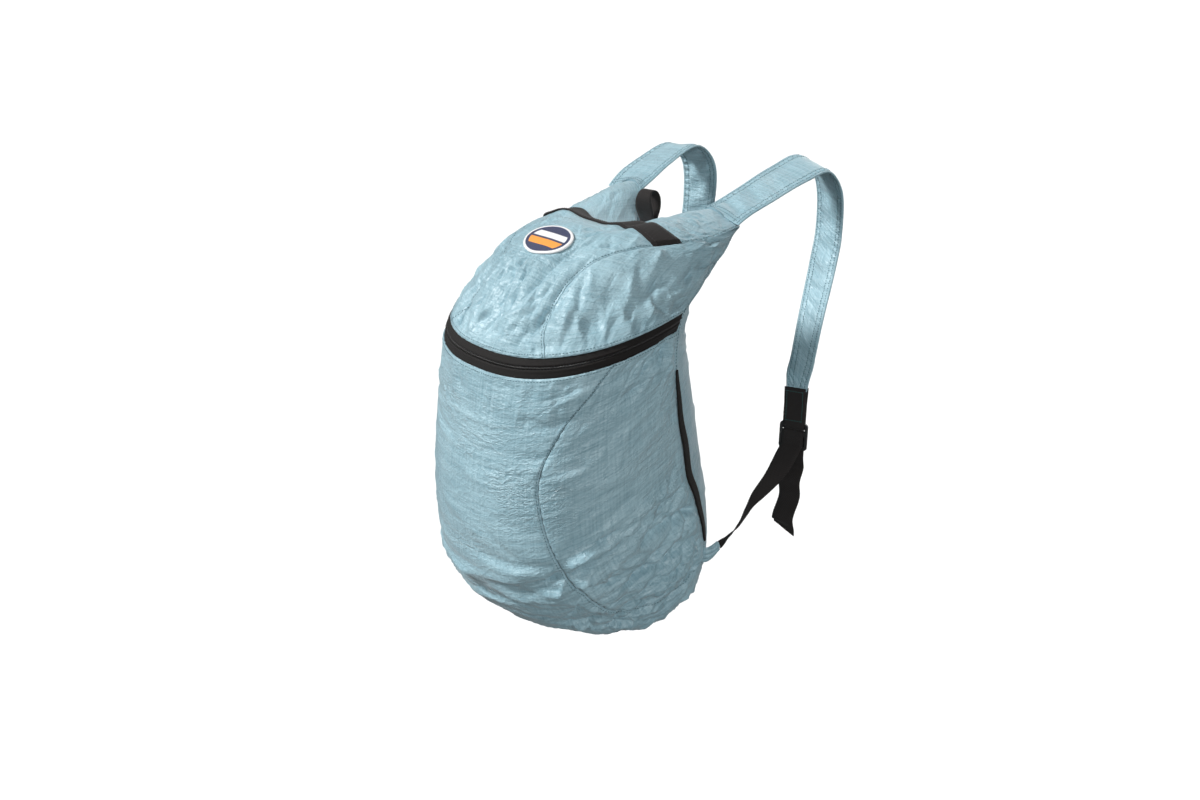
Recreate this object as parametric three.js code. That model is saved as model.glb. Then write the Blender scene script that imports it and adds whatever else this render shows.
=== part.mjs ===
// A light packable backpack of crinkled nylon, in millimetres with +Z up.
// The wearer's right is +X, the bag's outer face looks to -Y and the shoulder straps reach out to +Y.

import * as THREE from 'three';

// Thicknesses, and the clearance kept between pieces that are sewn together
const WALL = 1.6;
const STRAP_THICKNESS = 2.6;
const WEBBING_THICKNESS = 1.2;
const WEBBING_WIDTH = 25;
const GAP = 0.3;
const SEAM_INSET = 0.2;

// The bag was modelled standing on z = 0; this point between the two strap crests becomes the origin
const SHOULDER_REST = new THREE.Vector3(0, 225, 480);

// One row for each closed section of the cloth, from the bottom seam up to the top edge.
// A section leans from its front point to its back point, and is widest at wideY.
// power sets how square its corners are, and seam is the side seam's angle from the front.
const SECTIONS = [
  { frontY: 52, frontZ: 32, backY: 53.6, backZ: 32, halfWidth: 106, wideY: 52.8, power: 2.3, seam: 90 },
  { frontY: -15, frontZ: 2, backY: 75, backZ: 72, halfWidth: 124, wideY: 20, power: 2.3, seam: 110 },
  { frontY: -85, frontZ: 10, backY: 82, backZ: 120, halfWidth: 138, wideY: 0, power: 2.4, seam: 115 },
  { frontY: -145, frontZ: 45, backY: 82, backZ: 170, halfWidth: 141, wideY: -15, power: 2.4, seam: 114 },
  { frontY: -177, frontZ: 100, backY: 75, backZ: 225, halfWidth: 137, wideY: -28, power: 2.4, seam: 110 },
  { frontY: -182, frontZ: 180, backY: 63, backZ: 288, halfWidth: 134, wideY: -34, power: 2.4, seam: 107 },
  { frontY: -174, frontZ: 258, backY: 50, backZ: 343, halfWidth: 132, wideY: -34, power: 2.4, seam: 105 },
  { frontY: -162, frontZ: 328, backY: 46, backZ: 380, halfWidth: 132, wideY: -23, power: 2.4, seam: 104 },
  { frontY: -125, frontZ: 376, backY: 65, backZ: 393, halfWidth: 124, wideY: 10, power: 2.4, seam: 105 },
  { frontY: -73, frontZ: 413, backY: 89, backZ: 402, halfWidth: 114, wideY: 38, power: 2.4, seam: 105 },
  { frontY: -10, frontZ: 430, backY: 102, backZ: 411, halfWidth: 111, wideY: 65, power: 2.3, seam: 103 },
  { frontY: 50, frontZ: 432, backY: 107, backZ: 419, halfWidth: 105, wideY: 88, power: 2.2, seam: 98 },
  { frontY: 105, frontZ: 425, backY: 106, backZ: 425, halfWidth: 101, wideY: 105.5, power: 2.2, seam: 90 },
];
const TOP = SECTIONS.length - 1;
const ZIP = 7;

// The top edge rises to an ear at each strap, droops towards its tips and sags forward between the ears
const EAR = {
  right: { lift: 25, fromLevel: 8.5 },
  left: { lift: 33, fromLevel: 9.6 },
  footX: 12,
  fullX: 65,
};
const EAR_DROOP = { share: 0.45, fromX: 60, tipX: 105 };
const EDGE_SAG = { depth: 38, fromLevel: 9.5, flatX: 14, endX: 54 };

// The bottom corners are drawn up, and the lid is domed in front between the zip and the top edge
const CORNER = { lift: 28, toLevel: 2.2, x: 110 };
const CROWN = { rise: 20, fromLevel: 7.2, fullLevel: 9, fadeLevel: 9.4, toLevel: 11, edgeX: 120 };
const CROWN_FRONT = { fadeCosine: -0.3, fullCosine: 0.4 };

// The zip band's half height as a part of a section step, in front and at the side seam
const ZIP_HALF_FRONT = 0.155;
const ZIP_HALF_SIDE = 0.25;
const ZIP_COIL_HALF = 0.014;

// The curved seam between the front and each side panel, from the strap anchor up to the zip
const SIDE_SEAM = [
  { around: 115, level: 2.05 },
  { around: 92, level: 2.12 },
  { around: 67, level: 2.4 },
  { around: 55, level: 2.8 },
  { around: 50, level: 3.4 },
  { around: 45, level: 4.1 },
  { around: 40, level: 4.8 },
  { around: 39, level: 5.4 },
  { around: 47, level: 6 },
  { around: 57, level: 6.4 },
  { around: 66, level: 6.807 },
];
const ANCHOR_LEVEL = SIDE_SEAM[0].level;
const ANCHOR_ROW_CENTRE = 1;
const SIDE_SEAM_START = 0.015;

// The seam between the lid and its side, from the zip back to the ear's tip
const LID_SEAM = [
  { around: 35, level: 7.166 },
  { around: 28, level: 7.8 },
  { around: 28, level: 8.4 },
  { around: 35, level: 9 },
  { around: 46, level: 9.5 },
  { around: 58, level: 10 },
  { around: 69, level: 10.5 },
  { around: 79, level: 11.1 },
  { around: 88, level: 12 },
];

// Main dents (depth below 0) and ridges, each along its own direction from the horizontal
const FOLDS = [
  { around: 27, level: 8, turn: 75, length: 40, width: 9, depth: -5 },
  { around: 18, level: 8.7, turn: 60, length: 32, width: 9, depth: -4 },
  { around: 8, level: 8.2, turn: 100, length: 40, width: 12, depth: 3 },
  { around: 27, level: 10.1, turn: 70, length: 26, width: 10, depth: -6 },
  { around: -42, level: 10.3, turn: 20, length: 45, width: 22, depth: -6 },
  { around: 50, level: 8.1, turn: 85, length: 34, width: 10, depth: -4 },
  { around: 66, level: 8.5, turn: 80, length: 34, width: 10, depth: -4 },
  { around: 82, level: 8.7, turn: 70, length: 30, width: 10, depth: -4 },
  { around: 88, level: 6.6, turn: 25, length: 22, width: 8, depth: -4 },
  { around: 72, level: 6.5, turn: -15, length: 30, width: 10, depth: -2.5 },
  { around: 15, level: 4.3, turn: -8, length: 60, width: 10, depth: -2.5 },
  { around: 60, level: 3.6, turn: 12, length: 55, width: 9, depth: -3 },
  { around: 90, level: 2.9, turn: -25, length: 45, width: 9, depth: -4 },
  { around: 100, level: 2.3, turn: 40, length: 26, width: 8, depth: -4 },
  { around: -24, level: 9.92, turn: 11, length: 26, width: 8, depth: 4 },
];
const FOLD_FADE = { bottom: 0.6, bottomFull: 1.6, topFull: 11, top: 11.9 };

// About how long one radian round the bag and one section step are, and the small step for a slope
const AROUND_LENGTH = 130;
const LEVEL_LENGTH = 64;
const SLOPE_STEP = 0.01;

// How finely the panels are divided
const BOTTOM_ROWS = 6;
const BODY_ROWS = 15;
const LID_ROWS = 14;
const LID_ROW_SPACING = 0.9;
const FRONT_COLUMNS = 21;
const SIDE_COLUMNS = 8;
const BACK_COLUMNS = 17;
const LID_COLUMNS = BACK_COLUMNS;
const LID_SIDE_COLUMNS = 8;
const ZIP_COLUMNS = 35;

// Shoulder straps, from the top edge over the crest to the end that is sewn into the webbing tab
const STRAP_COLUMNS = 5;
const STRAP_STATIONS = 29;
const STRAP_SEAT = 1.4;
const STRAP_ROWS = {
  right: [
    { x: 75, y: 105.3, z: 447, width: 54, twist: 0 },
    { x: 75, y: 150, z: 460, width: 54, twist: 4 },
    { x: 76, y: 202, z: 476, width: 53, twist: 8 },
    { x: 76, y: 245, z: 482, width: 52, twist: 12 },
    { x: 78, y: 267, z: 456, width: 50, twist: 12 },
    { x: 81, y: 268, z: 404, width: 46, twist: 10 },
    { x: 87, y: 254, z: 368, width: 42, twist: 6 },
    { x: 100, y: 224, z: 314, width: 36, twist: 2 },
    { x: 115, y: 197, z: 276, width: 31, twist: -4 },
    { x: 125, y: 180.5, z: 261, width: 28, twist: -14 },
    { x: 127.2, y: 176.1, z: 247, width: 24, twist: -20 },
  ],
  left: [
    { x: -75, y: 105.3, z: 455, width: 54, twist: 0 },
    { x: -76, y: 145, z: 474, width: 54, twist: -3 },
    { x: -77, y: 190, z: 486, width: 53, twist: -6 },
    { x: -78, y: 216, z: 462, width: 51, twist: -6 },
    { x: -79, y: 219, z: 415, width: 48, twist: -4 },
    { x: -84, y: 212, z: 365, width: 43, twist: -2 },
    { x: -94, y: 198, z: 310, width: 37, twist: 2 },
    { x: -106, y: 180, z: 252, width: 32, twist: 6 },
    { x: -117, y: 167.5, z: 220, width: 28, twist: 14 },
    { x: -119.2, y: 164.1, z: 206, width: 24, twist: 20 },
  ],
};

// The folded webbing tab at each strap's end, and the ladder buckle that hangs in it
const TAB_TOP = { right: [127, 176.5, 251], left: [-119, 164.5, 210] };
const TAB_LEG = 42;
const TAB_FLARE = 1.6;
const TAB_DOWN = { right: [0.06, -0.1, -0.99], left: [-0.06, -0.1, -0.99] };
const TAB_TWIST = 20;
const TAB_STATIONS = 6;
const BUCKLE = {
  width: 33,
  thickness: 3,
  bar: 4,
  upperSlot: 7,
  lowerSlot: 12,
  slotWidth: 27,
  slotCorner: 1,
  corner: 4,
  arcSteps: 2,
};
const WRAP_RADIUS = BUCKLE.thickness / 2 + GAP + WEBBING_THICKNESS / 2;
const WRAP_STATIONS = 9;

// The adjusting webbing between buckle and anchor, and its rippled tail: how far along, and how far turned
const WEBBING_TWISTS = [
  { along: 0, twist: 200 },
  { along: 0.12, twist: 140 },
  { along: 0.26, twist: 100 },
  { along: 0.42, twist: 82 },
  { along: 0.65, twist: 30 },
  { along: 1, twist: 0 },
];
const WEBBING_STATIONS = 26;
const WEBBING_END_WIDTH = 11;
const WEBBING_FULL_WIDTH_AT = 0.3;
const WEBBING_SAG = 9;
const TAIL = {
  length: 112,
  start: 3,
  ripple: 4.5,
  waves: 2.2,
  straightPart: 0.2,
  rippledPart: 0.4,
  lean: 21,
  stations: 20,
  slant: 14,
};

// The cloth tab that anchors the webbing at each bottom corner
const ANCHOR_TAB = {
  length: 14,
  stand: 6.3,
  baseWidth: 18,
  tipWidth: 11,
  baseThickness: 6,
  tipThickness: 4.5,
  stations: 6,
};

// Trim sewn on the lid, at the top edge and on the side seams
const BAND = { level: 10.25, bow: 0.42, seamPart: 0.65, bridge: 0.25, slack: 0.4, stations: 31 };
const TRIM_CLEARANCE = 0.8;
const PATCH = { around: 0, level: 9.05, radius: 32, rings: 3, spokes: 24, thickness: 1 };
const HAUL_LOOP = {
  x: -2,
  seat: 2.4,
  height: 36,
  bulge: 17,
  width: 23,
  twist: 30,
  startTurn: 0.3,
  legSpread: 0.8,
  turnedRise: 0.5,
  stations: 25,
};
const SIDE_TAPE = { bottom: 2.45, top: 6.1, before: 2, after: 4.5, stations: 19, columns: 3 };
const SLIDER = { around: -97, length: 13, width: 9, height: 4, clearance: 0.9 };

// Finishes
const CLOTH_COLOUR = 0x9fc6d0;
const TRIM_COLOUR = 0x262424;
const PATCH_COLOUR = 0x323a59;
const CLOTH = { color: CLOTH_COLOUR, roughness: 0.55, metalness: 0 };
const TRIM = { color: TRIM_COLOUR, roughness: 0.75, metalness: 0 };
const BADGE = { color: PATCH_COLOUR, roughness: 0.7, metalness: 0 };
const PLASTIC = { color: TRIM_COLOUR, roughness: 0.4, metalness: 0 };

const backpack = new THREE.Group();
backpack.position.copy(SHOULDER_REST).negate();

function addPiece(name, geometry, finish) {
  const mesh = new THREE.Mesh(geometry, new THREE.MeshStandardMaterial(finish));
  mesh.name = name;
  backpack.add(mesh);
  return mesh;
}

// Small maths

const radians = THREE.MathUtils.degToRad;
const mix = THREE.MathUtils.lerp;
const steps = (count) => Array.from({ length: count }, (_, i) => i / (count - 1));

function easeBetween(low, high, value) {
  return THREE.MathUtils.smoothstep(value, low, high);
}

// A smooth curve through the rows of a table; the ends run on straight
function rowAt(table, position) {
  const last = table.length - 1;
  const start = Math.min(Math.max(Math.floor(position), 0), last - 1);
  const t = position - start;
  const row = {};
  for (const column of Object.keys(table[0])) {
    const b = table[start][column];
    const c = table[start + 1][column];
    const a = start > 0 ? table[start - 1][column] : 2 * b - c;
    const d = start + 2 <= last ? table[start + 2][column] : 2 * c - b;
    const slopeIn = (c - a) / 2;
    const slopeOut = (d - b) / 2;
    const bend = 3 * (c - b) - 2 * slopeIn - slopeOut;
    const twist = 2 * (b - c) + slopeIn + slopeOut;
    row[column] = b + t * (slopeIn + t * (bend + t * twist));
  }
  return row;
}

const tableAt = (table, part) => rowAt(table, part * (table.length - 1));

// The bag's inner surface, from an angle round it (0 in front, 90 degrees at +X) and a section level

const seamAngle = (level) => radians(rowAt(SECTIONS, level).seam);

function smoothPoint(around, level) {
  const section = rowAt(SECTIONS, level);
  const { frontY, frontZ, backY, backZ, halfWidth, wideY, power } = section;
  const cosine = Math.cos(around);
  const sine = Math.sin(around);
  const radius = (Math.abs(cosine) ** power + Math.abs(sine) ** power) ** (-1 / power);
  const reach = cosine > 0 ? wideY - frontY : backY - wideY;
  const x = halfWidth * radius * sine;
  const y = wideY - reach * radius * cosine;
  const lean = frontZ + (backZ - frontZ) * (y - frontY) / (backY - frontY);
  const crown = easeBetween(CROWN_FRONT.fadeCosine, CROWN_FRONT.fullCosine, cosine) * crownRise(x, level);
  const rise = earRise(x, level) + cornerRise(x, level) + crown;
  return new THREE.Vector3(x, y - edgeSag(x, level), lean + rise);
}

function edgeSag(x, level) {
  const middle = 1 - easeBetween(EDGE_SAG.flatX, EDGE_SAG.endX, Math.abs(x));
  return EDGE_SAG.depth * easeBetween(EDGE_SAG.fromLevel, TOP, level) * middle;
}

function earRise(x, level) {
  const side = Math.abs(x);
  const ear = x > 0 ? EAR.right : EAR.left;
  const droop = EAR_DROOP.share * easeBetween(EAR_DROOP.fromX, EAR_DROOP.tipX, side);
  const shape = easeBetween(EAR.footX, EAR.fullX, side) * (1 - droop);
  return ear.lift * easeBetween(ear.fromLevel, TOP, level) * shape;
}

function cornerRise(x, level) {
  return CORNER.lift * (1 - easeBetween(0, CORNER.toLevel, level)) * (x / CORNER.x) ** 2;
}

function crownRise(x, level) {
  const grow = easeBetween(CROWN.fromLevel, CROWN.fullLevel, level);
  const fade = 1 - easeBetween(CROWN.fadeLevel, CROWN.toLevel, level);
  return CROWN.rise * grow * fade * (1 - (x / CROWN.edgeX) ** 2);
}

function foldDepth(around, level) {
  let depth = 0;
  for (const fold of FOLDS) {
    const sideways = (around - radians(fold.around)) * AROUND_LENGTH;
    const upwards = (level - fold.level) * LEVEL_LENGTH;
    const turn = radians(fold.turn);
    const along = (sideways * Math.cos(turn) + upwards * Math.sin(turn)) / fold.length;
    const across = (upwards * Math.cos(turn) - sideways * Math.sin(turn)) / fold.width;
    depth += fold.depth * Math.exp(-along * along - across * across);
  }
  const fade = 1 - easeBetween(FOLD_FADE.topFull, FOLD_FADE.top, level);
  return depth * easeBetween(FOLD_FADE.bottom, FOLD_FADE.bottomFull, level) * fade;
}

function outward(around, level) {
  const upper = Math.min(level + SLOPE_STEP, TOP);
  const lower = Math.max(level - SLOPE_STEP, 0);
  const sideways = smoothPoint(around + SLOPE_STEP, level).sub(smoothPoint(around - SLOPE_STEP, level));
  const upwards = smoothPoint(around, upper).sub(smoothPoint(around, lower));
  return sideways.cross(upwards).normalize();
}

function clothPoint(around, level, lift = 0) {
  return smoothPoint(around, level).addScaledVector(outward(around, level), foldDepth(around, level) + lift);
}

// Closed solids from grids of points

function gridNormal(grid, i, j) {
  const rows = grid.length - 1;
  const columns = grid[0].length - 1;
  const sideways = grid[i][Math.min(j + 1, columns)].clone().sub(grid[i][Math.max(j - 1, 0)]);
  const upwards = grid[Math.min(i + 1, rows)][j].clone().sub(grid[Math.max(i - 1, 0)][j]);
  return sideways.cross(upwards).normalize();
}

// A closed solid between two grids, with rows going up and columns to the right as seen from outside
function solidBetween(outerGrid, innerGrid) {
  const rows = outerGrid.length;
  const columns = outerGrid[0].length;
  const positions = [outerGrid, innerGrid].flat(2).flatMap((point) => point.toArray());
  const outer = (i, j) => i * columns + j;
  const inner = (i, j) => rows * columns + i * columns + j;
  const index = [];
  const quad = (a, b, c, d) => index.push(a, b, c, a, c, d);
  for (let i = 0; i < rows - 1; i += 1) {
    for (let j = 0; j < columns - 1; j += 1) {
      quad(outer(i, j), outer(i, j + 1), outer(i + 1, j + 1), outer(i + 1, j));
      quad(inner(i, j), inner(i + 1, j), inner(i + 1, j + 1), inner(i, j + 1));
    }
    const right = columns - 1;
    quad(outer(i, 0), outer(i + 1, 0), inner(i + 1, 0), inner(i, 0));
    quad(outer(i, right), inner(i, right), inner(i + 1, right), outer(i + 1, right));
  }
  for (let j = 0; j < columns - 1; j += 1) {
    const top = rows - 1;
    quad(outer(0, j), inner(0, j), inner(0, j + 1), outer(0, j + 1));
    quad(outer(top, j), outer(top, j + 1), inner(top, j + 1), inner(top, j));
  }
  const geometry = new THREE.BufferGeometry();
  geometry.setAttribute('position', new THREE.Float32BufferAttribute(positions, 3));
  geometry.setIndex(index);
  geometry.computeVertexNormals();
  return geometry;
}

// A flat strip round its middle grid; thicknessAt tells its thickness from the first row to the last
function strip(grid, thicknessAt) {
  const face = (side) => grid.map((row, i) => row.map((point, j) => {
    const half = thicknessAt(i / (grid.length - 1)) / 2;
    return point.clone().addScaledVector(gridNormal(grid, i, j), side * half);
  }));
  return solidBetween(face(1), face(-1));
}

// A layer of cloth or tape on a grid of places on the bag, from one height above its inner surface to another
function bagLayer(places, low, high) {
  const face = (height) => places.map((row) => row.map(({ around, level, lift = 0 }) => {
    return clothPoint(around, level, height + lift);
  }));
  return solidBetween(face(high), face(low));
}

const clothWall = (places) => bagLayer(places, 0, WALL);
const TRIM_SEAT = WALL + TRIM_CLEARANCE;
const trimLayer = (places) => bagLayer(places, TRIM_SEAT, TRIM_SEAT + WEBBING_THICKNESS);

// The across direction of a flat strip: level with +X, then turned about the way that the strip runs
function acrossStrip(direction, twist) {
  const level = new THREE.Vector3(1, 0, 0);
  level.addScaledVector(direction, -level.dot(direction)).normalize();
  return level.applyAxisAngle(direction, radians(twist));
}

// Panels between the seams

const zipHalf = (around) => {
  const part = (around / seamAngle(ZIP)) ** 2;
  return mix(ZIP_HALF_FRONT, ZIP_HALF_SIDE, part);
};
const zipLower = (around) => ZIP - zipHalf(around);
const zipUpper = (around) => ZIP + zipHalf(around);
const AROUND_INSET = SEAM_INSET / AROUND_LENGTH;
const LEVEL_INSET = SEAM_INSET / LEVEL_LENGTH * 2;

// A row of a panel across the middle of the bag, from one seam point to its mirror image
function middleRow(edge, centreLevel, columns) {
  return steps(columns).map((part) => {
    const share = 2 * part - 1;
    return { around: edge.around * share, level: mix(centreLevel, edge.level, share * share) };
  });
}

// A row of a side panel, from its front seam to its back seam; side is 1 on the right and -1 on the left
function sideRow(front, back, columns, side) {
  const start = front.around;
  const end = back.around;
  const row = steps(columns).map((part) => {
    const around = mix(start, end, part);
    const share = (around ** 2 - start ** 2) / (end ** 2 - start ** 2);
    return { around: side * around, level: mix(front.level, back.level, share) };
  });
  return side > 0 ? row : row.reverse();
}

// A point just in front of the side seam
const seamPoint = (level) => ({ around: seamAngle(level) - AROUND_INSET, level });

// A point of a curved seam, moved square to the seam: sideways is above 0 towards the bag's side
function curvePoint(table, part, sideways) {
  const before = tableAt(table, Math.max(part - SLOPE_STEP, 0));
  const after = tableAt(table, Math.min(part + SLOPE_STEP, 1));
  const run = radians(after.around - before.around) * AROUND_LENGTH;
  const rise = (after.level - before.level) * LEVEL_LENGTH;
  const move = sideways / Math.hypot(run, rise);
  const { around, level } = tableAt(table, part);
  return {
    around: radians(around) + move * rise / AROUND_LENGTH,
    level: level - move * run / LEVEL_LENGTH,
  };
}

const bodyParts = steps(BODY_ROWS).map((part) => mix(SIDE_SEAM_START, 1, part));
const lidParts = steps(LID_ROWS).map((part) => part ** LID_ROW_SPACING);
const bottomLevels = steps(BOTTOM_ROWS).map((part) => part * ANCHOR_LEVEL);
const zipEdge = seamAngle(ZIP);
const bodySeamLevel = (part) => mix(ANCHOR_LEVEL, zipLower(zipEdge) - LEVEL_INSET, part);
const lidSeamLevel = (part) => mix(zipUpper(zipEdge) + LEVEL_INSET, TOP, part);

function frontPanel() {
  const bottom = bottomLevels.map((level) => {
    const centre = level / ANCHOR_LEVEL * ANCHOR_ROW_CENTRE;
    return middleRow(seamPoint(level), centre, FRONT_COLUMNS);
  });
  const body = bodyParts.map((part) => {
    const edge = curvePoint(SIDE_SEAM, part, -SEAM_INSET);
    edge.level -= LEVEL_INSET * part;
    const centre = mix(ANCHOR_ROW_CENTRE, zipLower(0) - LEVEL_INSET, part);
    return middleRow(edge, centre, FRONT_COLUMNS);
  });
  return clothWall([...bottom, ...body]);
}

function sidePanel(side) {
  return clothWall(bodyParts.map((part) => {
    const front = curvePoint(SIDE_SEAM, part, SEAM_INSET);
    front.level -= LEVEL_INSET * part;
    return sideRow(front, seamPoint(bodySeamLevel(part)), SIDE_COLUMNS, side);
  }));
}

function backPanel() {
  const levels = [
    ...bottomLevels,
    ...bodyParts.map(bodySeamLevel),
    ZIP,
    ...lidParts.map(lidSeamLevel),
  ];
  return clothWall(levels.map((level) => {
    const start = seamAngle(level) + AROUND_INSET;
    const end = 2 * Math.PI - start;
    return steps(BACK_COLUMNS).map((part) => ({ around: mix(start, end, part), level }));
  }));
}

function lidPanel() {
  return clothWall(lidParts.map((part) => {
    const edge = curvePoint(LID_SEAM, part, -SEAM_INSET);
    edge.level = Math.min(edge.level + LEVEL_INSET * (1 - part), TOP);
    const centre = mix(zipUpper(0) + LEVEL_INSET, TOP, part);
    return middleRow(edge, centre, LID_COLUMNS);
  }));
}

function lidSide(side) {
  return clothWall(lidParts.slice(0, -1).map((part) => {
    const front = curvePoint(LID_SEAM, part, SEAM_INSET);
    front.level += LEVEL_INSET * (1 - part);
    return sideRow(front, seamPoint(lidSeamLevel(part)), LID_SIDE_COLUMNS, side);
  }));
}

addPiece('front_panel', frontPanel(), CLOTH);
addPiece('side_panel_right', sidePanel(1), CLOTH);
addPiece('side_panel_left', sidePanel(-1), CLOTH);
addPiece('back_panel', backPanel(), CLOTH);
addPiece('lid_panel', lidPanel(), CLOTH);
addPiece('lid_side_right', lidSide(1), CLOTH);
addPiece('lid_side_left', lidSide(-1), CLOTH);

// The zip round the front: two tapes with the coil between them, and its slider parked at the left end

function zipStrip(lower, upper) {
  const reach = zipEdge - AROUND_INSET;
  const row = (levelOf) => steps(ZIP_COLUMNS).map((part) => {
    const around = mix(-reach, reach, part);
    return { around, level: levelOf(around) };
  });
  return clothWall([row(lower), row(upper)]);
}

const COIL_EDGE = ZIP_COIL_HALF + LEVEL_INSET * 2;
addPiece('zip_tape_lower', zipStrip((a) => zipLower(a) + LEVEL_INSET, () => ZIP - COIL_EDGE), TRIM);
addPiece('zip_coil', zipStrip(() => ZIP - ZIP_COIL_HALF, () => ZIP + ZIP_COIL_HALF), TRIM);
addPiece('zip_tape_upper', zipStrip(() => ZIP + COIL_EDGE, (a) => zipUpper(a) - LEVEL_INSET), TRIM);

function zipSlider() {
  const around = radians(SLIDER.around);
  const lift = WALL + SLIDER.clearance + SLIDER.height / 2;
  const block = new THREE.BoxGeometry(SLIDER.length, SLIDER.width, SLIDER.height);
  const slider = addPiece('zip_slider', block, PLASTIC);
  const normal = outward(around, ZIP);
  const along = smoothPoint(around + SLOPE_STEP, ZIP).sub(smoothPoint(around - SLOPE_STEP, ZIP)).normalize();
  const upwards = normal.clone().cross(along);
  slider.position.copy(clothPoint(around, ZIP, lift));
  slider.quaternion.setFromRotationMatrix(new THREE.Matrix4().makeBasis(along, upwards, normal));
}
zipSlider();

// Trim on the lid and the side seams

function lidBand() {
  const reach = curvePoint(LID_SEAM, BAND.seamPart, -GAP).around;
  const halfBand = WEBBING_WIDTH / 2 / LEVEL_LENGTH;
  const row = (offset) => steps(BAND.stations).map((part) => {
    const share = 2 * part - 1;
    const around = reach * share;
    const level = BAND.level + offset - BAND.bow * share * share;
    const dent = Math.min(foldDepth(around, level), 0);
    return { around, level, lift: BAND.slack - BAND.bridge * dent };
  });
  return trimLayer([row(-halfBand), row(halfBand)]);
}

function lidPatch() {
  const centre = radians(PATCH.around);
  const middle = smoothPoint(centre, PATCH.level);
  const aroundScale = smoothPoint(centre + SLOPE_STEP, PATCH.level).distanceTo(middle) / SLOPE_STEP;
  const levelScale = smoothPoint(centre, PATCH.level + SLOPE_STEP).distanceTo(middle) / SLOPE_STEP;
  const place = (radius, angle, lift) => clothPoint(
    centre + radius * Math.cos(angle) / aroundScale,
    PATCH.level + radius * Math.sin(angle) / levelScale,
    lift,
  );
  const lifts = [TRIM_SEAT + PATCH.thickness, TRIM_SEAT];
  const positions = [];
  const index = [];
  for (const lift of lifts) {
    positions.push(...place(0, 0, lift).toArray());
    for (let ring = 1; ring <= PATCH.rings; ring += 1) {
      for (let spoke = 0; spoke < PATCH.spokes; spoke += 1) {
        const angle = 2 * Math.PI * spoke / PATCH.spokes;
        positions.push(...place(PATCH.radius * ring / PATCH.rings, angle, lift).toArray());
      }
    }
  }
  const perFace = 1 + PATCH.rings * PATCH.spokes;
  const vertex = (face, ring, spoke) => {
    const onRing = 1 + (ring - 1) * PATCH.spokes + spoke % PATCH.spokes;
    return face * perFace + (ring === 0 ? 0 : onRing);
  };
  for (let spoke = 0; spoke < PATCH.spokes; spoke += 1) {
    index.push(vertex(0, 0, 0), vertex(0, 1, spoke), vertex(0, 1, spoke + 1));
    index.push(vertex(1, 0, 0), vertex(1, 1, spoke + 1), vertex(1, 1, spoke));
    for (let ring = 1; ring < PATCH.rings; ring += 1) {
      const [a, b] = [vertex(0, ring, spoke), vertex(0, ring, spoke + 1)];
      const [c, d] = [vertex(0, ring + 1, spoke), vertex(0, ring + 1, spoke + 1)];
      index.push(a, c, d, a, d, b);
      index.push(a + perFace, d + perFace, c + perFace, a + perFace, b + perFace, d + perFace);
    }
    const [rim, next] = [vertex(0, PATCH.rings, spoke), vertex(0, PATCH.rings, spoke + 1)];
    index.push(rim, rim + perFace, next + perFace, rim, next + perFace, next);
  }
  const geometry = new THREE.BufferGeometry();
  geometry.setAttribute('position', new THREE.Float32BufferAttribute(positions, 3));
  geometry.setIndex(index);
  geometry.computeVertexNormals();
  return geometry;
}

function sideTape(side) {
  const grid = steps(SIDE_TAPE.stations).map((up) => {
    const level = mix(SIDE_TAPE.bottom, SIDE_TAPE.top, up);
    const row = steps(SIDE_TAPE.columns).map((part) => {
      const around = seamAngle(level) + radians(mix(-SIDE_TAPE.before, SIDE_TAPE.after, part));
      return { around: side * around, level };
    });
    return side > 0 ? row : row.reverse();
  });
  return trimLayer(grid);
}

addPiece('lid_band', lidBand(), TRIM);
addPiece('patch', lidPatch(), BADGE);
addPiece('side_tape_right', sideTape(1), TRIM);
addPiece('side_tape_left', sideTape(-1), TRIM);

// A drop-shaped loop of webbing on the top edge, where its two ends are sewn in; it turns as it rises
function haulLoop() {
  const base = topEdgePoint(HAUL_LOOP.x);
  const half = HAUL_LOOP.width / 2;
  const edge = topEdgePoint(HAUL_LOOP.x + half).sub(topEdgePoint(HAUL_LOOP.x - half)).normalize();
  const grid = steps(HAUL_LOOP.stations).map((part) => {
    const turn = mix(HAUL_LOOP.startTurn, 2 * Math.PI - HAUL_LOOP.startTurn, part);
    const rise = (1 - Math.cos(turn)) / 2;
    const leg = HAUL_LOOP.legSpread * (1 - easeBetween(HAUL_LOOP.turnedRise, 1, rise));
    const loopSide = HAUL_LOOP.bulge * Math.sin(turn) * Math.sin(turn / 2) ** 2 + (part < 0.5 ? leg : -leg);
    const turned = easeBetween(0, HAUL_LOOP.turnedRise, rise);
    const angle = radians(HAUL_LOOP.twist * turned);
    const level = new THREE.Vector3(Math.cos(angle), Math.sin(angle), 0);
    const across = edge.clone().lerp(level, turned).normalize();
    const sideways = new THREE.Vector3(-Math.sin(angle), Math.cos(angle), 0);
    const middle = base.clone().addScaledVector(sideways, loopSide);
    middle.y += HAUL_LOOP.seat;
    middle.z += HAUL_LOOP.seat + HAUL_LOOP.height * rise;
    return [-1, 1].map((end) => middle.clone().addScaledVector(across, end * half));
  });
  return strip(grid, () => WEBBING_THICKNESS);
}

// The point of the top edge at a distance x from the middle, found by halving
const EDGE_HALVINGS = 40;

function topEdgePoint(x) {
  let low = -Math.PI / 2;
  let high = Math.PI / 2;
  for (let step = 0; step < EDGE_HALVINGS; step += 1) {
    const middle = (low + high) / 2;
    if (smoothPoint(middle, TOP).x < x) low = middle;
    else high = middle;
  }
  return smoothPoint(low, TOP);
}

addPiece('haul_loop', haulLoop(), TRIM);

// Straps: the first row follows the top edge, and the rest run straight across

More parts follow.
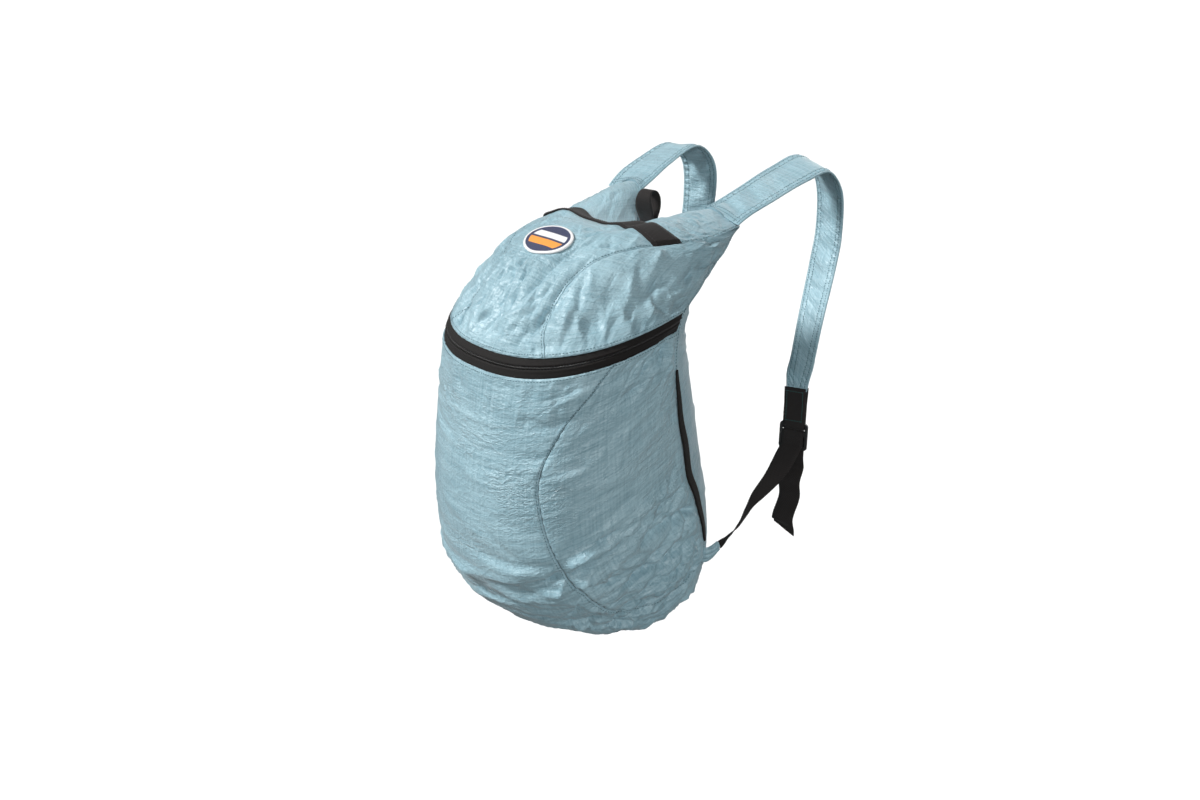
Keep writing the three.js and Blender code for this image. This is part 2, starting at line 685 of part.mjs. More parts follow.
function strap(table) {
  const centres = table.map((row) => new THREE.Vector3(row.x, row.y, row.z));
  const curve = new THREE.CatmullRomCurve3(centres, false, 'centripetal');
  const grid = steps(STRAP_STATIONS).map((part) => {
    const { width, twist } = tableAt(table, part);
    const centre = curve.getPoint(part);
    const across = acrossStrip(curve.getTangent(part), twist);
    return steps(STRAP_COLUMNS).map((share) => {
      const point = centre.clone().addScaledVector(across, (share - 0.5) * width);
      if (part > 0) return point;
      const edge = topEdgePoint(point.x);
      return new THREE.Vector3(point.x, edge.y + STRAP_SEAT, edge.z + STRAP_THICKNESS / 2 + STRAP_SEAT);
    });
  });
  return strip(grid, () => STRAP_THICKNESS);
}

addPiece('strap_right', strap(STRAP_ROWS.right), CLOTH);
addPiece('strap_left', strap(STRAP_ROWS.left), CLOTH);

// Each strap's end hardware in its own frame: down the tab, across it, and out towards the bag's front

function endFrame(name) {
  const side = name === 'right' ? 1 : -1;
  const down = new THREE.Vector3(...TAB_DOWN[name]).normalize();
  const across = acrossStrip(down, -side * TAB_TWIST);
  const front = down.clone().cross(across);
  const top = new THREE.Vector3(...TAB_TOP[name]);
  const at = (run, out) => top.clone().addScaledVector(down, run).addScaledVector(front, out);
  return { side, down, across, front, at };
}

const TOP_BAR_RUN = TAB_LEG;
const MIDDLE_BAR_RUN = TOP_BAR_RUN + BUCKLE.bar + BUCKLE.upperSlot;
const LOWER_BAR_RUN = MIDDLE_BAR_RUN + BUCKLE.bar + BUCKLE.lowerSlot;

// The tab's two legs lie on either side of the strap's end, and its fold holds the buckle's top bar
function endTab(frame) {
  const legRuns = steps(TAB_STATIONS).map((part) => part * TAB_LEG);
  const legOut = (run) => WRAP_RADIUS + TAB_FLARE * (1 - easeBetween(0, TAB_LEG / 2, run));
  const centres = [
    ...legRuns.map((run) => frame.at(run, legOut(run))),
    ...steps(WRAP_STATIONS).map((part) => {
      const angle = part * Math.PI;
      const run = TOP_BAR_RUN + BUCKLE.bar / 2 + WRAP_RADIUS * Math.sin(angle);
      return frame.at(run, WRAP_RADIUS * Math.cos(angle));
    }),
    ...legRuns.toReversed().map((run) => frame.at(run, -legOut(run))),
  ];
  const grid = centres.map((centre) => [-1, 1].map((end) => {
    return centre.clone().addScaledVector(frame.across, end * WEBBING_WIDTH / 2);
  }));
  return strip(grid, () => WEBBING_THICKNESS);
}

// A flat frame with an upper and a lower slot, so that three bars are left between its sides
function buckle(frame) {
  const height = LOWER_BAR_RUN + BUCKLE.bar / 2 - (TOP_BAR_RUN - BUCKLE.bar / 2);
  const outline = roundedRectangle(-BUCKLE.width / 2, 0, BUCKLE.width, height, BUCKLE.corner);
  const slot = (run, length) => {
    const start = run + BUCKLE.bar / 2 - (TOP_BAR_RUN - BUCKLE.bar / 2);
    const left = -BUCKLE.slotWidth / 2;
    outline.holes.push(roundedRectangle(left, start, BUCKLE.slotWidth, length, BUCKLE.slotCorner));
  };
  slot(TOP_BAR_RUN, BUCKLE.upperSlot);
  slot(MIDDLE_BAR_RUN, BUCKLE.lowerSlot);
  const geometry = new THREE.ExtrudeGeometry(outline, {
    depth: BUCKLE.thickness,
    bevelEnabled: false,
    curveSegments: BUCKLE.arcSteps,
  });
  geometry.translate(0, 0, -BUCKLE.thickness / 2);
  const mesh = addPiece(frame.side > 0 ? 'buckle_right' : 'buckle_left', geometry, PLASTIC);
  const back = frame.across.clone().cross(frame.down);
  mesh.quaternion.setFromRotationMatrix(new THREE.Matrix4().makeBasis(frame.across, frame.down, back));
  mesh.position.copy(frame.at(TOP_BAR_RUN - BUCKLE.bar / 2, 0));
}

function roundedRectangle(x, y, width, height, radius) {
  const shape = new THREE.Shape();
  shape.moveTo(x + radius, y);
  shape.lineTo(x + width - radius, y);
  shape.absarc(x + width - radius, y + radius, radius, -Math.PI / 2, 0);
  shape.lineTo(x + width, y + height - radius);
  shape.absarc(x + width - radius, y + height - radius, radius, 0, Math.PI / 2);
  shape.lineTo(x + radius, y + height);
  shape.absarc(x + radius, y + height - radius, radius, Math.PI / 2, Math.PI);
  shape.lineTo(x, y + radius);
  shape.absarc(x + radius, y + radius, radius, Math.PI, Math.PI * 1.5);
  return shape;
}

// The cloth tab grows out of the bottom corner and bends towards the buckle
function anchorTab(frame) {
  const around = frame.side * seamAngle(ANCHOR_LEVEL);
  const normal = outward(around, ANCHOR_LEVEL);
  const root = clothPoint(around, ANCHOR_LEVEL, WALL + GAP * 2);
  const above = ANCHOR_LEVEL + SLOPE_STEP;
  const seamUp = smoothPoint(frame.side * seamAngle(above), above);
  seamUp.sub(smoothPoint(around, ANCHOR_LEVEL)).normalize();
  const towards = frame.at(LOWER_BAR_RUN, WRAP_RADIUS).sub(root).normalize();
  const grid = steps(ANCHOR_TAB.stations).map((part) => {
    const bend = part * Math.PI / 2;
    const centre = root.clone().addScaledVector(normal, ANCHOR_TAB.stand * Math.sin(bend));
    centre.addScaledVector(towards, ANCHOR_TAB.length * (1 - Math.cos(bend)));
    const half = mix(ANCHOR_TAB.baseWidth, ANCHOR_TAB.tipWidth, part) / 2;
    return [-1, 1].map((end) => centre.clone().addScaledVector(seamUp, end * half));
  });
  const thicknessAt = (part) => mix(ANCHOR_TAB.baseThickness, ANCHOR_TAB.tipThickness, part);
  const tip = grid[grid.length - 1];
  const end = tip[0].clone().add(tip[1]).multiplyScalar(0.5);
  return { geometry: strip(grid, thicknessAt), end, towards, seamUp };
}

// The webbing runs from the anchor to the buckle's front, over the middle bar, and hangs down as a tail
function webbing(frame, anchor) {
  const start = anchor.end.clone().addScaledVector(anchor.towards, GAP * 2);
  const arrive = frame.at(LOWER_BAR_RUN - BUCKLE.bar, WRAP_RADIUS + GAP);
  const centres = [];
  const across = [];
  const widths = [];
  const direction = arrive.clone().sub(start).normalize();
  for (const part of steps(WEBBING_STATIONS)) {
    const twist = twistAt(part);
    const centre = start.clone().lerp(arrive, part);
    centre.z -= WEBBING_SAG * Math.sin(part * Math.PI);
    centres.push(centre);
    across.push(frame.across.clone().applyAxisAngle(direction, radians(frame.side * twist)));
    widths.push(mix(WEBBING_END_WIDTH, WEBBING_WIDTH, easeBetween(0, WEBBING_FULL_WIDTH_AT, part)));
  }
  for (const part of steps(WRAP_STATIONS)) {
    const angle = part * Math.PI;
    const run = MIDDLE_BAR_RUN - BUCKLE.bar / 2 - WRAP_RADIUS * Math.sin(angle);
    centres.push(frame.at(run, WRAP_RADIUS * Math.cos(angle)));
    across.push(frame.across.clone());
    widths.push(WEBBING_WIDTH);
  }
  const tailTop = MIDDLE_BAR_RUN + TAIL.start;
  for (const part of steps(TAIL.stations)) {
    const swell = easeBetween(TAIL.straightPart, TAIL.rippledPart, part);
    const ripple = TAIL.ripple * swell * (Math.sin(part * TAIL.waves * 2 * Math.PI) - 1);
    const lean = TAIL.lean * easeBetween(TAIL.straightPart, 1, part);
    centres.push(frame.at(tailTop + TAIL.length * part, ripple + lean - WRAP_RADIUS));
    across.push(frame.across.clone());
    widths.push(WEBBING_WIDTH);
  }
  const grid = centres.map((centre, i) => [-1, 1].map((end) => {
    const point = centre.clone().addScaledVector(across[i], end * widths[i] / 2);
    const last = i === centres.length - 1;
    return last && end === -frame.side ? point.addScaledVector(frame.down, -TAIL.slant) : point;
  }));
  return strip(grid, () => WEBBING_THICKNESS);
}

function twistAt(part) {
  const next = Math.max(WEBBING_TWISTS.findIndex((row) => row.along >= part), 1);
  const a = WEBBING_TWISTS[next - 1];
  const b = WEBBING_TWISTS[next];
  return mix(a.twist, b.twist, easeBetween(a.along, b.along, part));
}

for (const name of ['right', 'left']) {
  const frame = endFrame(name);
  const anchor = anchorTab(frame);
  addPiece(`strap_end_tab_${name}`, endTab(frame), TRIM);
  buckle(frame);
  addPiece(`anchor_tab_${name}`, anchor.geometry, CLOTH);
  addPiece(`webbing_${name}`, webbing(frame, anchor), TRIM);
}

export default backpack;
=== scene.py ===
"""A light packable backpack of crinkled nylon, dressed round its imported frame.

The tables are in millimetres with the bag standing on z = 0; meshes are in metres in the row frame.
"""

import logging
import math
from dataclasses import dataclass, field
from enum import Enum
from typing import Any, Callable

import bmesh
import bpy
import numpy as np
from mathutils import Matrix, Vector


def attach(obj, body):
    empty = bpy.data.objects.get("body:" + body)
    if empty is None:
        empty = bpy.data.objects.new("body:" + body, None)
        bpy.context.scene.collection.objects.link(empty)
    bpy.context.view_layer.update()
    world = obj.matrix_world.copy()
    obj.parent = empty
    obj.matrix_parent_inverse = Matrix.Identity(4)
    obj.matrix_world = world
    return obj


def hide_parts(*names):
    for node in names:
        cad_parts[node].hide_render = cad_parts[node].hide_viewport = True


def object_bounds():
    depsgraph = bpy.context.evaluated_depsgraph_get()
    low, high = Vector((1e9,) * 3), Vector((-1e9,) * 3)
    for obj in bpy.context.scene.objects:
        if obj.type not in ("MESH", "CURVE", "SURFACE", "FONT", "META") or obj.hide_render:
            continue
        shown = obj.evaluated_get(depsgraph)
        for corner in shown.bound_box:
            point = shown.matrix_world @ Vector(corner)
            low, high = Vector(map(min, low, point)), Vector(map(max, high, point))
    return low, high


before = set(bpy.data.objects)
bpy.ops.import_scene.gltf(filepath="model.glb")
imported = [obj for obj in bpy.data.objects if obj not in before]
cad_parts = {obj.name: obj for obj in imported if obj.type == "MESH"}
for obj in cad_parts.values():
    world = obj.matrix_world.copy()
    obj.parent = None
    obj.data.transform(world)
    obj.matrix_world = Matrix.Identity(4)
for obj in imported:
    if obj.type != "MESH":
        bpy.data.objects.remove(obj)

Array = np.ndarray
Pair = tuple[float, float]
TwoArrays = tuple[Array, Array]
LevelLine = Callable[[Array], Array]
LOG = logging.getLogger("backpack")
CAD_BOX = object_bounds()
SEED = 41
MM = 0.001
BODY = "root"

# The point between the two strap crests, which is the row frame's origin
SHOULDER_REST = np.array([0.0, 225.0, 480.0])

# Thicknesses of cloth, strap and webbing, and how far sewn pieces stay apart
WALL = 1.6
INNER_FACE = 0.5
STRAP_THICKNESS = 2.6
WEBBING_THICKNESS = 1.2
WEBBING_WIDTH = 25.0
GAP = 0.3
SEAM_INSET = 0.2
TRIM_CLEARANCE = 0.8
TRIM_SEAT = WALL + TRIM_CLEARANCE

# About how long one radian round the bag and one section step are, small steps for slopes, and how near
# points have to be, in metres, to be merged
AROUND_LENGTH = 130.0
LEVEL_LENGTH = 64.0
SLOPE_STEP = 0.01
WELD = 1e-6
AROUND_INSET = SEAM_INSET / AROUND_LENGTH
LEVEL_INSET = SEAM_INSET / LEVEL_LENGTH * 2


class Edge(Enum):
    """The four edges of a grid of cloth, seen from outside."""

    LEFT = "left"
    RIGHT = "right"
    BOTTOM = "bottom"
    TOP = "top"


class Join(Enum):
    """How a cloth edge is sewn: turned in at a seam, or folded as a hem over a tape."""

    SEAM = "seam"
    HEM = "hem"


def ease(low: float, high: float, value: Array) -> Array:
    """The smooth step 3t^2 - 2t^3 of t, which goes from 0 at low to 1 at high."""
    t = np.clip((value - low) / (high - low), 0.0, 1.0)
    return t * t * (3 - 2 * t)


def mix(a: Any, b: Any, part: Any) -> Any:
    """The straight blend from a to b."""
    return a + (b - a) * part


def unit(vectors: Array) -> Array:
    """Each vector divided by its length."""
    return vectors / np.maximum(np.linalg.norm(vectors, axis=-1, keepdims=True), 1e-12)


def turned(vectors: Array, axis: Array, degrees: Any) -> Array:
    """Vectors turned about an axis, as v cos + (a x v) sin + a (a . v)(1 - cos).

    Args:
        vectors: The vectors to turn.
        axis: Unit axis, or one for each vector.
        degrees: The angle, or one for each vector.

    Returns:
        The turned vectors.
    """
    angle = np.radians(np.asarray(degrees, float))[..., None]
    along = (vectors * axis).sum(-1, keepdims=True)
    swing = vectors * np.cos(angle) + np.cross(axis, vectors) * np.sin(angle)
    return swing + axis * along * (1 - np.cos(angle))


def neighbours(rows: Array, position: Array) -> tuple[Array, ...]:
    """The four rows round a position, where the ends go on straight, and the way between the middle two.

    Args:
        rows: The rows.
        position: Row numbers, which may lie between rows.

    Returns:
        Four arrays of rows, and the way from 0 to 1.
    """
    start = np.clip(np.floor(position), 0, len(rows) - 2).astype(int)
    padded = np.vstack([2 * rows[0] - rows[1], rows, 2 * rows[-1] - rows[-2]])
    return *(padded[start + k] for k in range(4)), (position - start)[..., None]


def cubic(start: Array, end: Array, slopes: TwoArrays, t: Array) -> TwoArrays:
    """The cubic a + t (s + t (bend + t twist)) that leaves start and reaches end with given slopes.

    Args:
        start: Values at t = 0.
        end: Values at t = 1.
        slopes: The slopes at both.
        t: The way between them.

    Returns:
        Values and derivatives.
    """
    slope_in, slope_out = slopes
    bend = 3 * (end - start) - 2 * slope_in - slope_out
    twist = 2 * (start - end) + slope_in + slope_out
    return start + t * (slope_in + t * (bend + t * twist)), slope_in + t * (2 * bend + 3 * t * twist)


def lengths_along(path: Array) -> Array:
    """The length from a path's first point to each of its points."""
    return np.concatenate([[0], np.cumsum(np.linalg.norm(np.diff(path, axis=0), axis=1))])


class Table:
    """Rows of named columns, read along a smooth curve through the rows."""

    def __init__(self, columns: str, rows: list[tuple[float, ...]]) -> None:
        """Keeps the column names and the rows."""
        self.columns = columns.split()
        self.rows = np.array(rows, float)

    def at(self, position: Any) -> dict[str, Array]:
        """Each column by the cubic through neighbouring rows, whose slopes are half of (next - previous).

        Args:
            position: Row numbers, which may lie between rows.

        Returns:
            One array for each column name.
        """
        a, b, c, d, t = neighbours(self.rows, np.asarray(position, float))
        values, _ = cubic(b, c, ((c - a) / 2, (d - b) / 2), t)
        return dict(zip(self.columns, np.moveaxis(values, -1, 0)))

    def part(self, part: Any) -> dict[str, Array]:
        """Each column at a part of the whole table, from 0 to 1."""
        return self.at(np.asarray(part, float) * (len(self.rows) - 1))

    def records(self) -> list[dict[str, float]]:
        """The rows as dictionaries."""
        return [dict(zip(self.columns, row)) for row in self.rows]


# Closed sections from the bottom seam to the top edge: front and back points, width, squareness, side seam
SECTIONS = Table("front_y front_z back_y back_z half_width wide_y power seam", [
    (52, 32, 53.6, 32, 106, 52.8, 2.3, 90),
    (-15, 2, 75, 72, 124, 20, 2.3, 110),
    (-85, 10, 82, 120, 138, 0, 2.4, 115),
    (-145, 45, 82, 170, 141, -15, 2.4, 114),
    (-177, 100, 75, 225, 137, -28, 2.4, 110),
    (-182, 180, 63, 288, 134, -34, 2.4, 107),
    (-174, 258, 50, 343, 132, -34, 2.4, 105),
    (-162, 328, 46, 380, 132, -23, 2.4, 104),
    (-125, 376, 65, 393, 124, 10, 2.4, 105),
    (-73, 413, 89, 402, 114, 38, 2.4, 105),
    (-10, 430, 102, 411, 111, 65, 2.3, 103),
    (50, 432, 107, 419, 105, 88, 2.2, 98),
    (105, 425, 106, 425, 101, 105.5, 2.2, 90),
])
TOP = len(SECTIONS.rows) - 1
ZIP = 7.0
ZIP_HALF_FRONT, ZIP_HALF_SIDE, ZIP_COIL_HALF = 0.155, 0.25, 0.014

# Seams as angle round the bag and section level
SIDE_SEAM = Table("around level", [
    (115, 2.05), (92, 2.12), (67, 2.4), (55, 2.8), (50, 3.4), (45, 4.1),
    (40, 4.8), (39, 5.4), (47, 6), (57, 6.4), (66, 6.807),
])
LID_SEAM = Table("around level", [
    (35, 7.166), (28, 7.8), (28, 8.4), (35, 9), (46, 9.5), (58, 10), (69, 10.5), (79, 11.1), (88, 12),
])
ANCHOR_LEVEL = 2.05
ANCHOR_ROW_CENTRE = 1.0
SIDE_SEAM_START = 0.015

# The ears at the straps (lift and first level), their droop and the sag between them, with distances x
EAR_RIGHT, EAR_LEFT, EAR_X = (25.0, 8.5), (33.0, 9.6), (12.0, 65.0)
EAR_DROOP, EAR_DROOP_X = 0.45, (60.0, 105.0)
SAG_DEPTH, SAG_FROM, SAG_X = 38.0, 9.5, (14.0, 54.0)

# The drawn-up bottom corners and the lid's crown in front: height, levels and distance x
CORNER_LIFT, CORNER_LEVELS, CORNER_X = 28.0, (0.0, 2.2), 110.0
CROWN_RISE, CROWN_GROWS, CROWN_FADES, CROWN_X = 20.0, (7.2, 9.0), (9.4, 11.0), 120.0
CROWN_COSINES = (-0.3, 0.4)

# Main dents and ridges, each along its own direction from the horizontal
FOLDS = Table("around level turn length width depth", [
    (27, 8, 75, 40, 9, -5), (18, 8.7, 60, 32, 9, -4), (8, 8.2, 100, 40, 12, 3),
    (27, 10.1, 70, 26, 10, -6), (-42, 10.3, 20, 45, 22, -6), (50, 8.1, 85, 34, 10, -4),
    (66, 8.5, 80, 34, 10, -4), (82, 8.7, 70, 30, 10, -4), (88, 6.6, 25, 22, 8, -4),
    (72, 6.5, -15, 30, 10, -2.5), (15, 4.3, -8, 60, 10, -2.5), (60, 3.6, 12, 55, 9, -3),
    (90, 2.9, -25, 45, 9, -4), (100, 2.3, 40, 26, 8, -4), (-24, 9.92, 11, 26, 8, 4),
])

# Where small creases are strewn: the field, how many, their direction and its spread, and their size
CREASE_ZONES = Table("from_around to_around from_level to_level count turn spread length width depth", [
    (-95, 55, 2.0, 4.3, 170, -5, 10, 32, 2.8, 4.6),
    (40, 108, 2.1, 4.2, 180, 6, 24, 24, 2.6, 8.0),
    (-108, -60, 2.1, 4.6, 60, -8, 18, 28, 3.0, 3.6),
    (-100, 100, 0.9, 2.2, 150, 0, 14, 24, 2.8, 6.0),
    (-100, 40, 4.2, 6.4, 70, -4, 14, 30, 2.6, 1.9),
    (40, 104, 4.0, 6.6, 90, 8, 30, 22, 2.6, 2.8),
    (-95, 95, 6.2, 6.86, 120, 88, 16, 10, 2.6, 2.2),
    (-32, 32, 7.2, 9.6, 150, 66, 34, 16, 2.6, 4.4),
    (30, 100, 7.25, 9.7, 95, 112, 12, 19, 3.0, 4.6),
    (-100, -30, 7.25, 9.7, 95, 68, 12, 19, 3.0, 4.6),
    (16, 88, 9.7, 11.7, 90, 25, 40, 14, 2.8, 3.4),
    (-88, -16, 9.7, 11.7, 90, -25, 40, 14, 2.8, 3.4),
    (74, 103, 6.1, 6.9, 30, 32, 20, 13, 2.8, 9.0),
    (55, 108, 2.1, 3.7, 34, -18, 22, 30, 5.0, 6.5),
    (20, 30, 7.3, 8.6, 7, 82, 8, 28, 3.0, 7.0),
    (-30, -20, 7.3, 8.6, 7, 98, 8, 28, 3.0, 7.0),
    (108, 252, 1.0, 11.6, 200, 0, 35, 22, 3.0, 2.9),
])
CREASE_SHARPNESS = 0.02

# How much single creases differ from their zone's size, and whether they dip or rise
CREASE_LENGTHS, CREASE_WIDTHS, CREASE_DEPTHS = (0.5, 1.4), (0.6, 1.5), (0.3, 1.0)
CREASE_SIGNS = (-1.0, 0.8)

# How many of its lengths and widths away a ridge or crease is still felt
RIDGE_LENGTHS, RIDGE_WIDTHS = 2.6, 6.0

# The badge's place and half sizes, and the lid band's level, bow towards its ends and reach to each side
BADGE_LEVEL, BADGE_RADIUS, BADGE_HEIGHT = 9.05, 32.0, 22.0
BAND_LEVEL, BAND_BOW, BAND_REACH = 10.25, 0.42, 0.95

# The levels between which folds begin above the bottom seam and end below the top edge
FOLD_STARTS, FOLD_ENDS = (0.6, 1.6), (11.0, 11.9)

# Where creases begin beside the badge, the band and its ends, in their own sizes, and the side tapes, in mm
BADGE_CLEAR, BAND_CLEAR, BAND_END_CLEAR, TAPE_CLEAR = (0.95, 1.5), (1.0, 1.5), (1.0, 1.15), (6.0, 14.0)
EDGE_POINTS = 4001


@dataclass
class BagForm:
    """The bag's inner surface, from an angle round it (0 in front) and a section level."""

    creases: list[dict[str, float]] = field(default_factory=list)

    def __post_init__(self) -> None:
        """Strews the small creases over their zones, from one seeded source."""
        source = np.random.default_rng(SEED)
        for zone in CREASE_ZONES.records():
            for _ in range(int(zone["count"])):
                self.creases.append({
                    "around": source.uniform(zone["from_around"], zone["to_around"]),
                    "level": source.uniform(zone["from_level"], zone["to_level"]),
                    "turn": source.normal(zone["turn"], zone["spread"]),
                    "length": zone["length"] * source.uniform(*CREASE_LENGTHS),
                    "width": zone["width"] * source.uniform(*CREASE_WIDTHS),
                    "depth": zone["depth"] * source.uniform(*CREASE_DEPTHS) * source.choice(CREASE_SIGNS),
                })

    @staticmethod
    def seam_angle(level: Any) -> Array:
        """The side seam's angle from the front, in radians."""
        return np.radians(SECTIONS.at(level)["seam"])

    def smooth(self, around: Array, level: Array) -> Array:
        """A superellipse loop that leans from its front to its back point, with ears, sag, corners and crown.

        Args:
            around: Angles in radians.
            level: Section levels.

        Returns:
            Points in millimetres.
        """
        around, level = np.broadcast_arrays(np.asarray(around, float), np.asarray(level, float))
        row = SECTIONS.at(level)
        cosine, sine = np.cos(around), np.sin(around)
        power = row["power"]
        radius = (np.abs(cosine) ** power + np.abs(sine) ** power) ** (-1 / power)
        reach = np.where(cosine > 0, row["wide_y"] - row["front_y"], row["back_y"] - row["wide_y"])
        x = row["half_width"] * radius * sine
        y = row["wide_y"] - reach * radius * cosine
        slope = (row["back_z"] - row["front_z"]) / (row["back_y"] - row["front_y"])
        z = row["front_z"] + slope * (y - row["front_y"])
        side = np.abs(x)
        right, left = (lift * ease(first, TOP, level) for lift, first in (EAR_RIGHT, EAR_LEFT))
        ear = np.where(x > 0, right, left) * ease(*EAR_X, side)
        ear = ear * (1 - EAR_DROOP * ease(*EAR_DROOP_X, side))
        corner = CORNER_LIFT * (1 - ease(*CORNER_LEVELS, level)) * (x / CORNER_X) ** 2
        crown = CROWN_RISE * ease(*CROWN_GROWS, level) * (1 - ease(*CROWN_FADES, level))
        crown = crown * (1 - (x / CROWN_X) ** 2)
        sag = SAG_DEPTH * ease(SAG_FROM, TOP, level) * (1 - ease(*SAG_X, side))
        return np.stack([x, y - sag, z + ear + corner + crown * ease(*CROWN_COSINES, cosine)], -1)

    def outward(self, around: Array, level: Array) -> Array:
        """The unit normal, from the cross product of small steps round and up.

        Args:
            around: Angles in radians.
            level: Section levels.

        Returns:
            Normals that point out of the bag.
        """
        level = np.asarray(level, float)
        sideways = self.smooth(around + SLOPE_STEP, level) - self.smooth(around - SLOPE_STEP, level)
        upper = self.smooth(around, np.minimum(level + SLOPE_STEP, TOP))
        lower = self.smooth(around, np.maximum(level - SLOPE_STEP, 0))
        return unit(np.cross(sideways, upper - lower))

    @staticmethod
    def ridges(rows: list[dict[str, float]], around: Array, level: Array, sharp: bool) -> Array:
        """The sum of ridges; each falls off as a bell along and across its own direction.

        Args:
            rows: Place, direction, size and depth of each ridge.
            around: Angles in radians.
            level: Section levels.
            sharp: True for a creased profile, the exponential of minus the distance across.

        Returns:
            Heights in millimetres.
        """
        total = np.zeros(np.broadcast(around, level).shape)
        for row in rows:
            turn = math.radians(row["turn"])
            away = around - math.radians(row["around"])
            sideways = ((away + np.pi) % (2 * np.pi) - np.pi) * AROUND_LENGTH
            upwards = (level - row["level"]) * LEVEL_LENGTH
            along = (sideways * math.cos(turn) + upwards * math.sin(turn)) / row["length"]
            across = (upwards * math.cos(turn) - sideways * math.sin(turn)) / row["width"]
            near = (np.abs(along) < RIDGE_LENGTHS) & (np.abs(across) < RIDGE_WIDTHS)
            fall = np.sqrt(across[near] ** 2 + CREASE_SHARPNESS) if sharp else across[near] ** 2
            total[near] += row["depth"] * np.exp(-along[near] ** 2 - fall)
        return total

    @staticmethod
    def within(level: Array) -> Array:
        """1 on the bag's walls, fading to 0 at the bottom seam and the top edge."""
        return ease(*FOLD_STARTS, level) * (1 - ease(*FOLD_ENDS, level))

    def folds(self, around: Array, level: Array) -> Array:
        """The main dents and ridges."""
        return self.ridges(FOLDS.records(), around, level, False) * self.within(level)

    def bare(self, around: Array, level: Array) -> Array:
        """Smooth steps of the distance to the badge, the lid band and the side tapes, which lie flat.

        Args:
            around: Angles in radians.
            level: Section levels.

        Returns:
            0 under them and 1 away from them.
        """
        sideways = ((around + np.pi) % (2 * np.pi) - np.pi) * AROUND_LENGTH
        badge = np.hypot(sideways / BADGE_RADIUS, (level - BADGE_LEVEL) * LEVEL_LENGTH / BADGE_HEIGHT)
        share = np.clip(sideways / AROUND_LENGTH / BAND_REACH, -1, 1)
        band = np.abs(level - BAND_LEVEL + BAND_BOW * share**2) * LEVEL_LENGTH / WEBBING_WIDTH * 2
        beyond = ease(*BAND_END_CLEAR, np.abs(sideways) / AROUND_LENGTH / BAND_REACH)
        seam = np.abs(np.abs(sideways) - self.seam_angle(level) * AROUND_LENGTH)
        beside_band = np.maximum(ease(*BAND_CLEAR, band), beyond)
        return ease(*BADGE_CLEAR, badge) * beside_band * ease(*TAPE_CLEAR, seam)

    def crinkle(self, around: Array, level: Array) -> Array:
        """The strewn small creases."""
        height = self.ridges(self.creases, around, level, True)
        return height * self.bare(around, level) * self.within(level)

    def cloth(self, around: Array, level: Array, lift: Any = 0.0) -> Array:
        """A point over the surface with its main folds, raised by lift along the normal."""
        height = self.folds(around, level) + lift
        return self.smooth(around, level) + self.outward(around, level) * np.asarray(height)[..., None]

    def top_edge(self, x: Array) -> Array:
        """The top edge, read from a fine row of its points.

        Args:
            x: Distances from the middle.

        Returns:
            Points in millimetres.
        """
        around = np.linspace(-np.pi / 2, np.pi / 2, EDGE_POINTS)
        edge = self.smooth(around, np.full_like(around, TOP))
        return np.stack([np.interp(x, edge[:, 0], edge[:, k]) for k in range(3)], -1)


FORM = BagForm()


def seam_point(table: Table, part: Array, sideways: float) -> TwoArrays:
    """A point of a curved seam, moved square to it.

    Args:
        table: The seam.
        part: Parts along the seam.
        sideways: Millimetres towards the bag's side.

    Returns:
        Angles in radians and levels.
    """
    before = table.part(np.maximum(part - SLOPE_STEP, 0))
    after = table.part(np.minimum(part + SLOPE_STEP, 1))
    run = np.radians(after["around"] - before["around"]) * AROUND_LENGTH
    rise = (after["level"] - before["level"]) * LEVEL_LENGTH
    move = sideways / np.hypot(run, rise)
    here = table.part(part)
    return np.radians(here["around"]) + move * rise / AROUND_LENGTH, here["level"] - move * run / LEVEL_LENGTH


def quads(a: Array, b: Array, c: Array, d: Array) -> Array:
    """Four-cornered faces from four arrays of vertex numbers."""
    return np.stack([a.ravel(), b.ravel(), c.ravel(), d.ravel()], 1)


def cells(number: Array) -> Array:
    """The faces of a grid of vertex numbers, with rows going up and columns to the right from outside."""
    return quads(number[:-1, :-1], number[:-1, 1:], number[1:, 1:], number[1:, :-1])


def zip_half(around: Array) -> Array:
    """Half the zip's height in section steps, which grows with the square of the angle."""
    return mix(ZIP_HALF_FRONT, ZIP_HALF_SIDE, (around / FORM.seam_angle(ZIP)) ** 2)


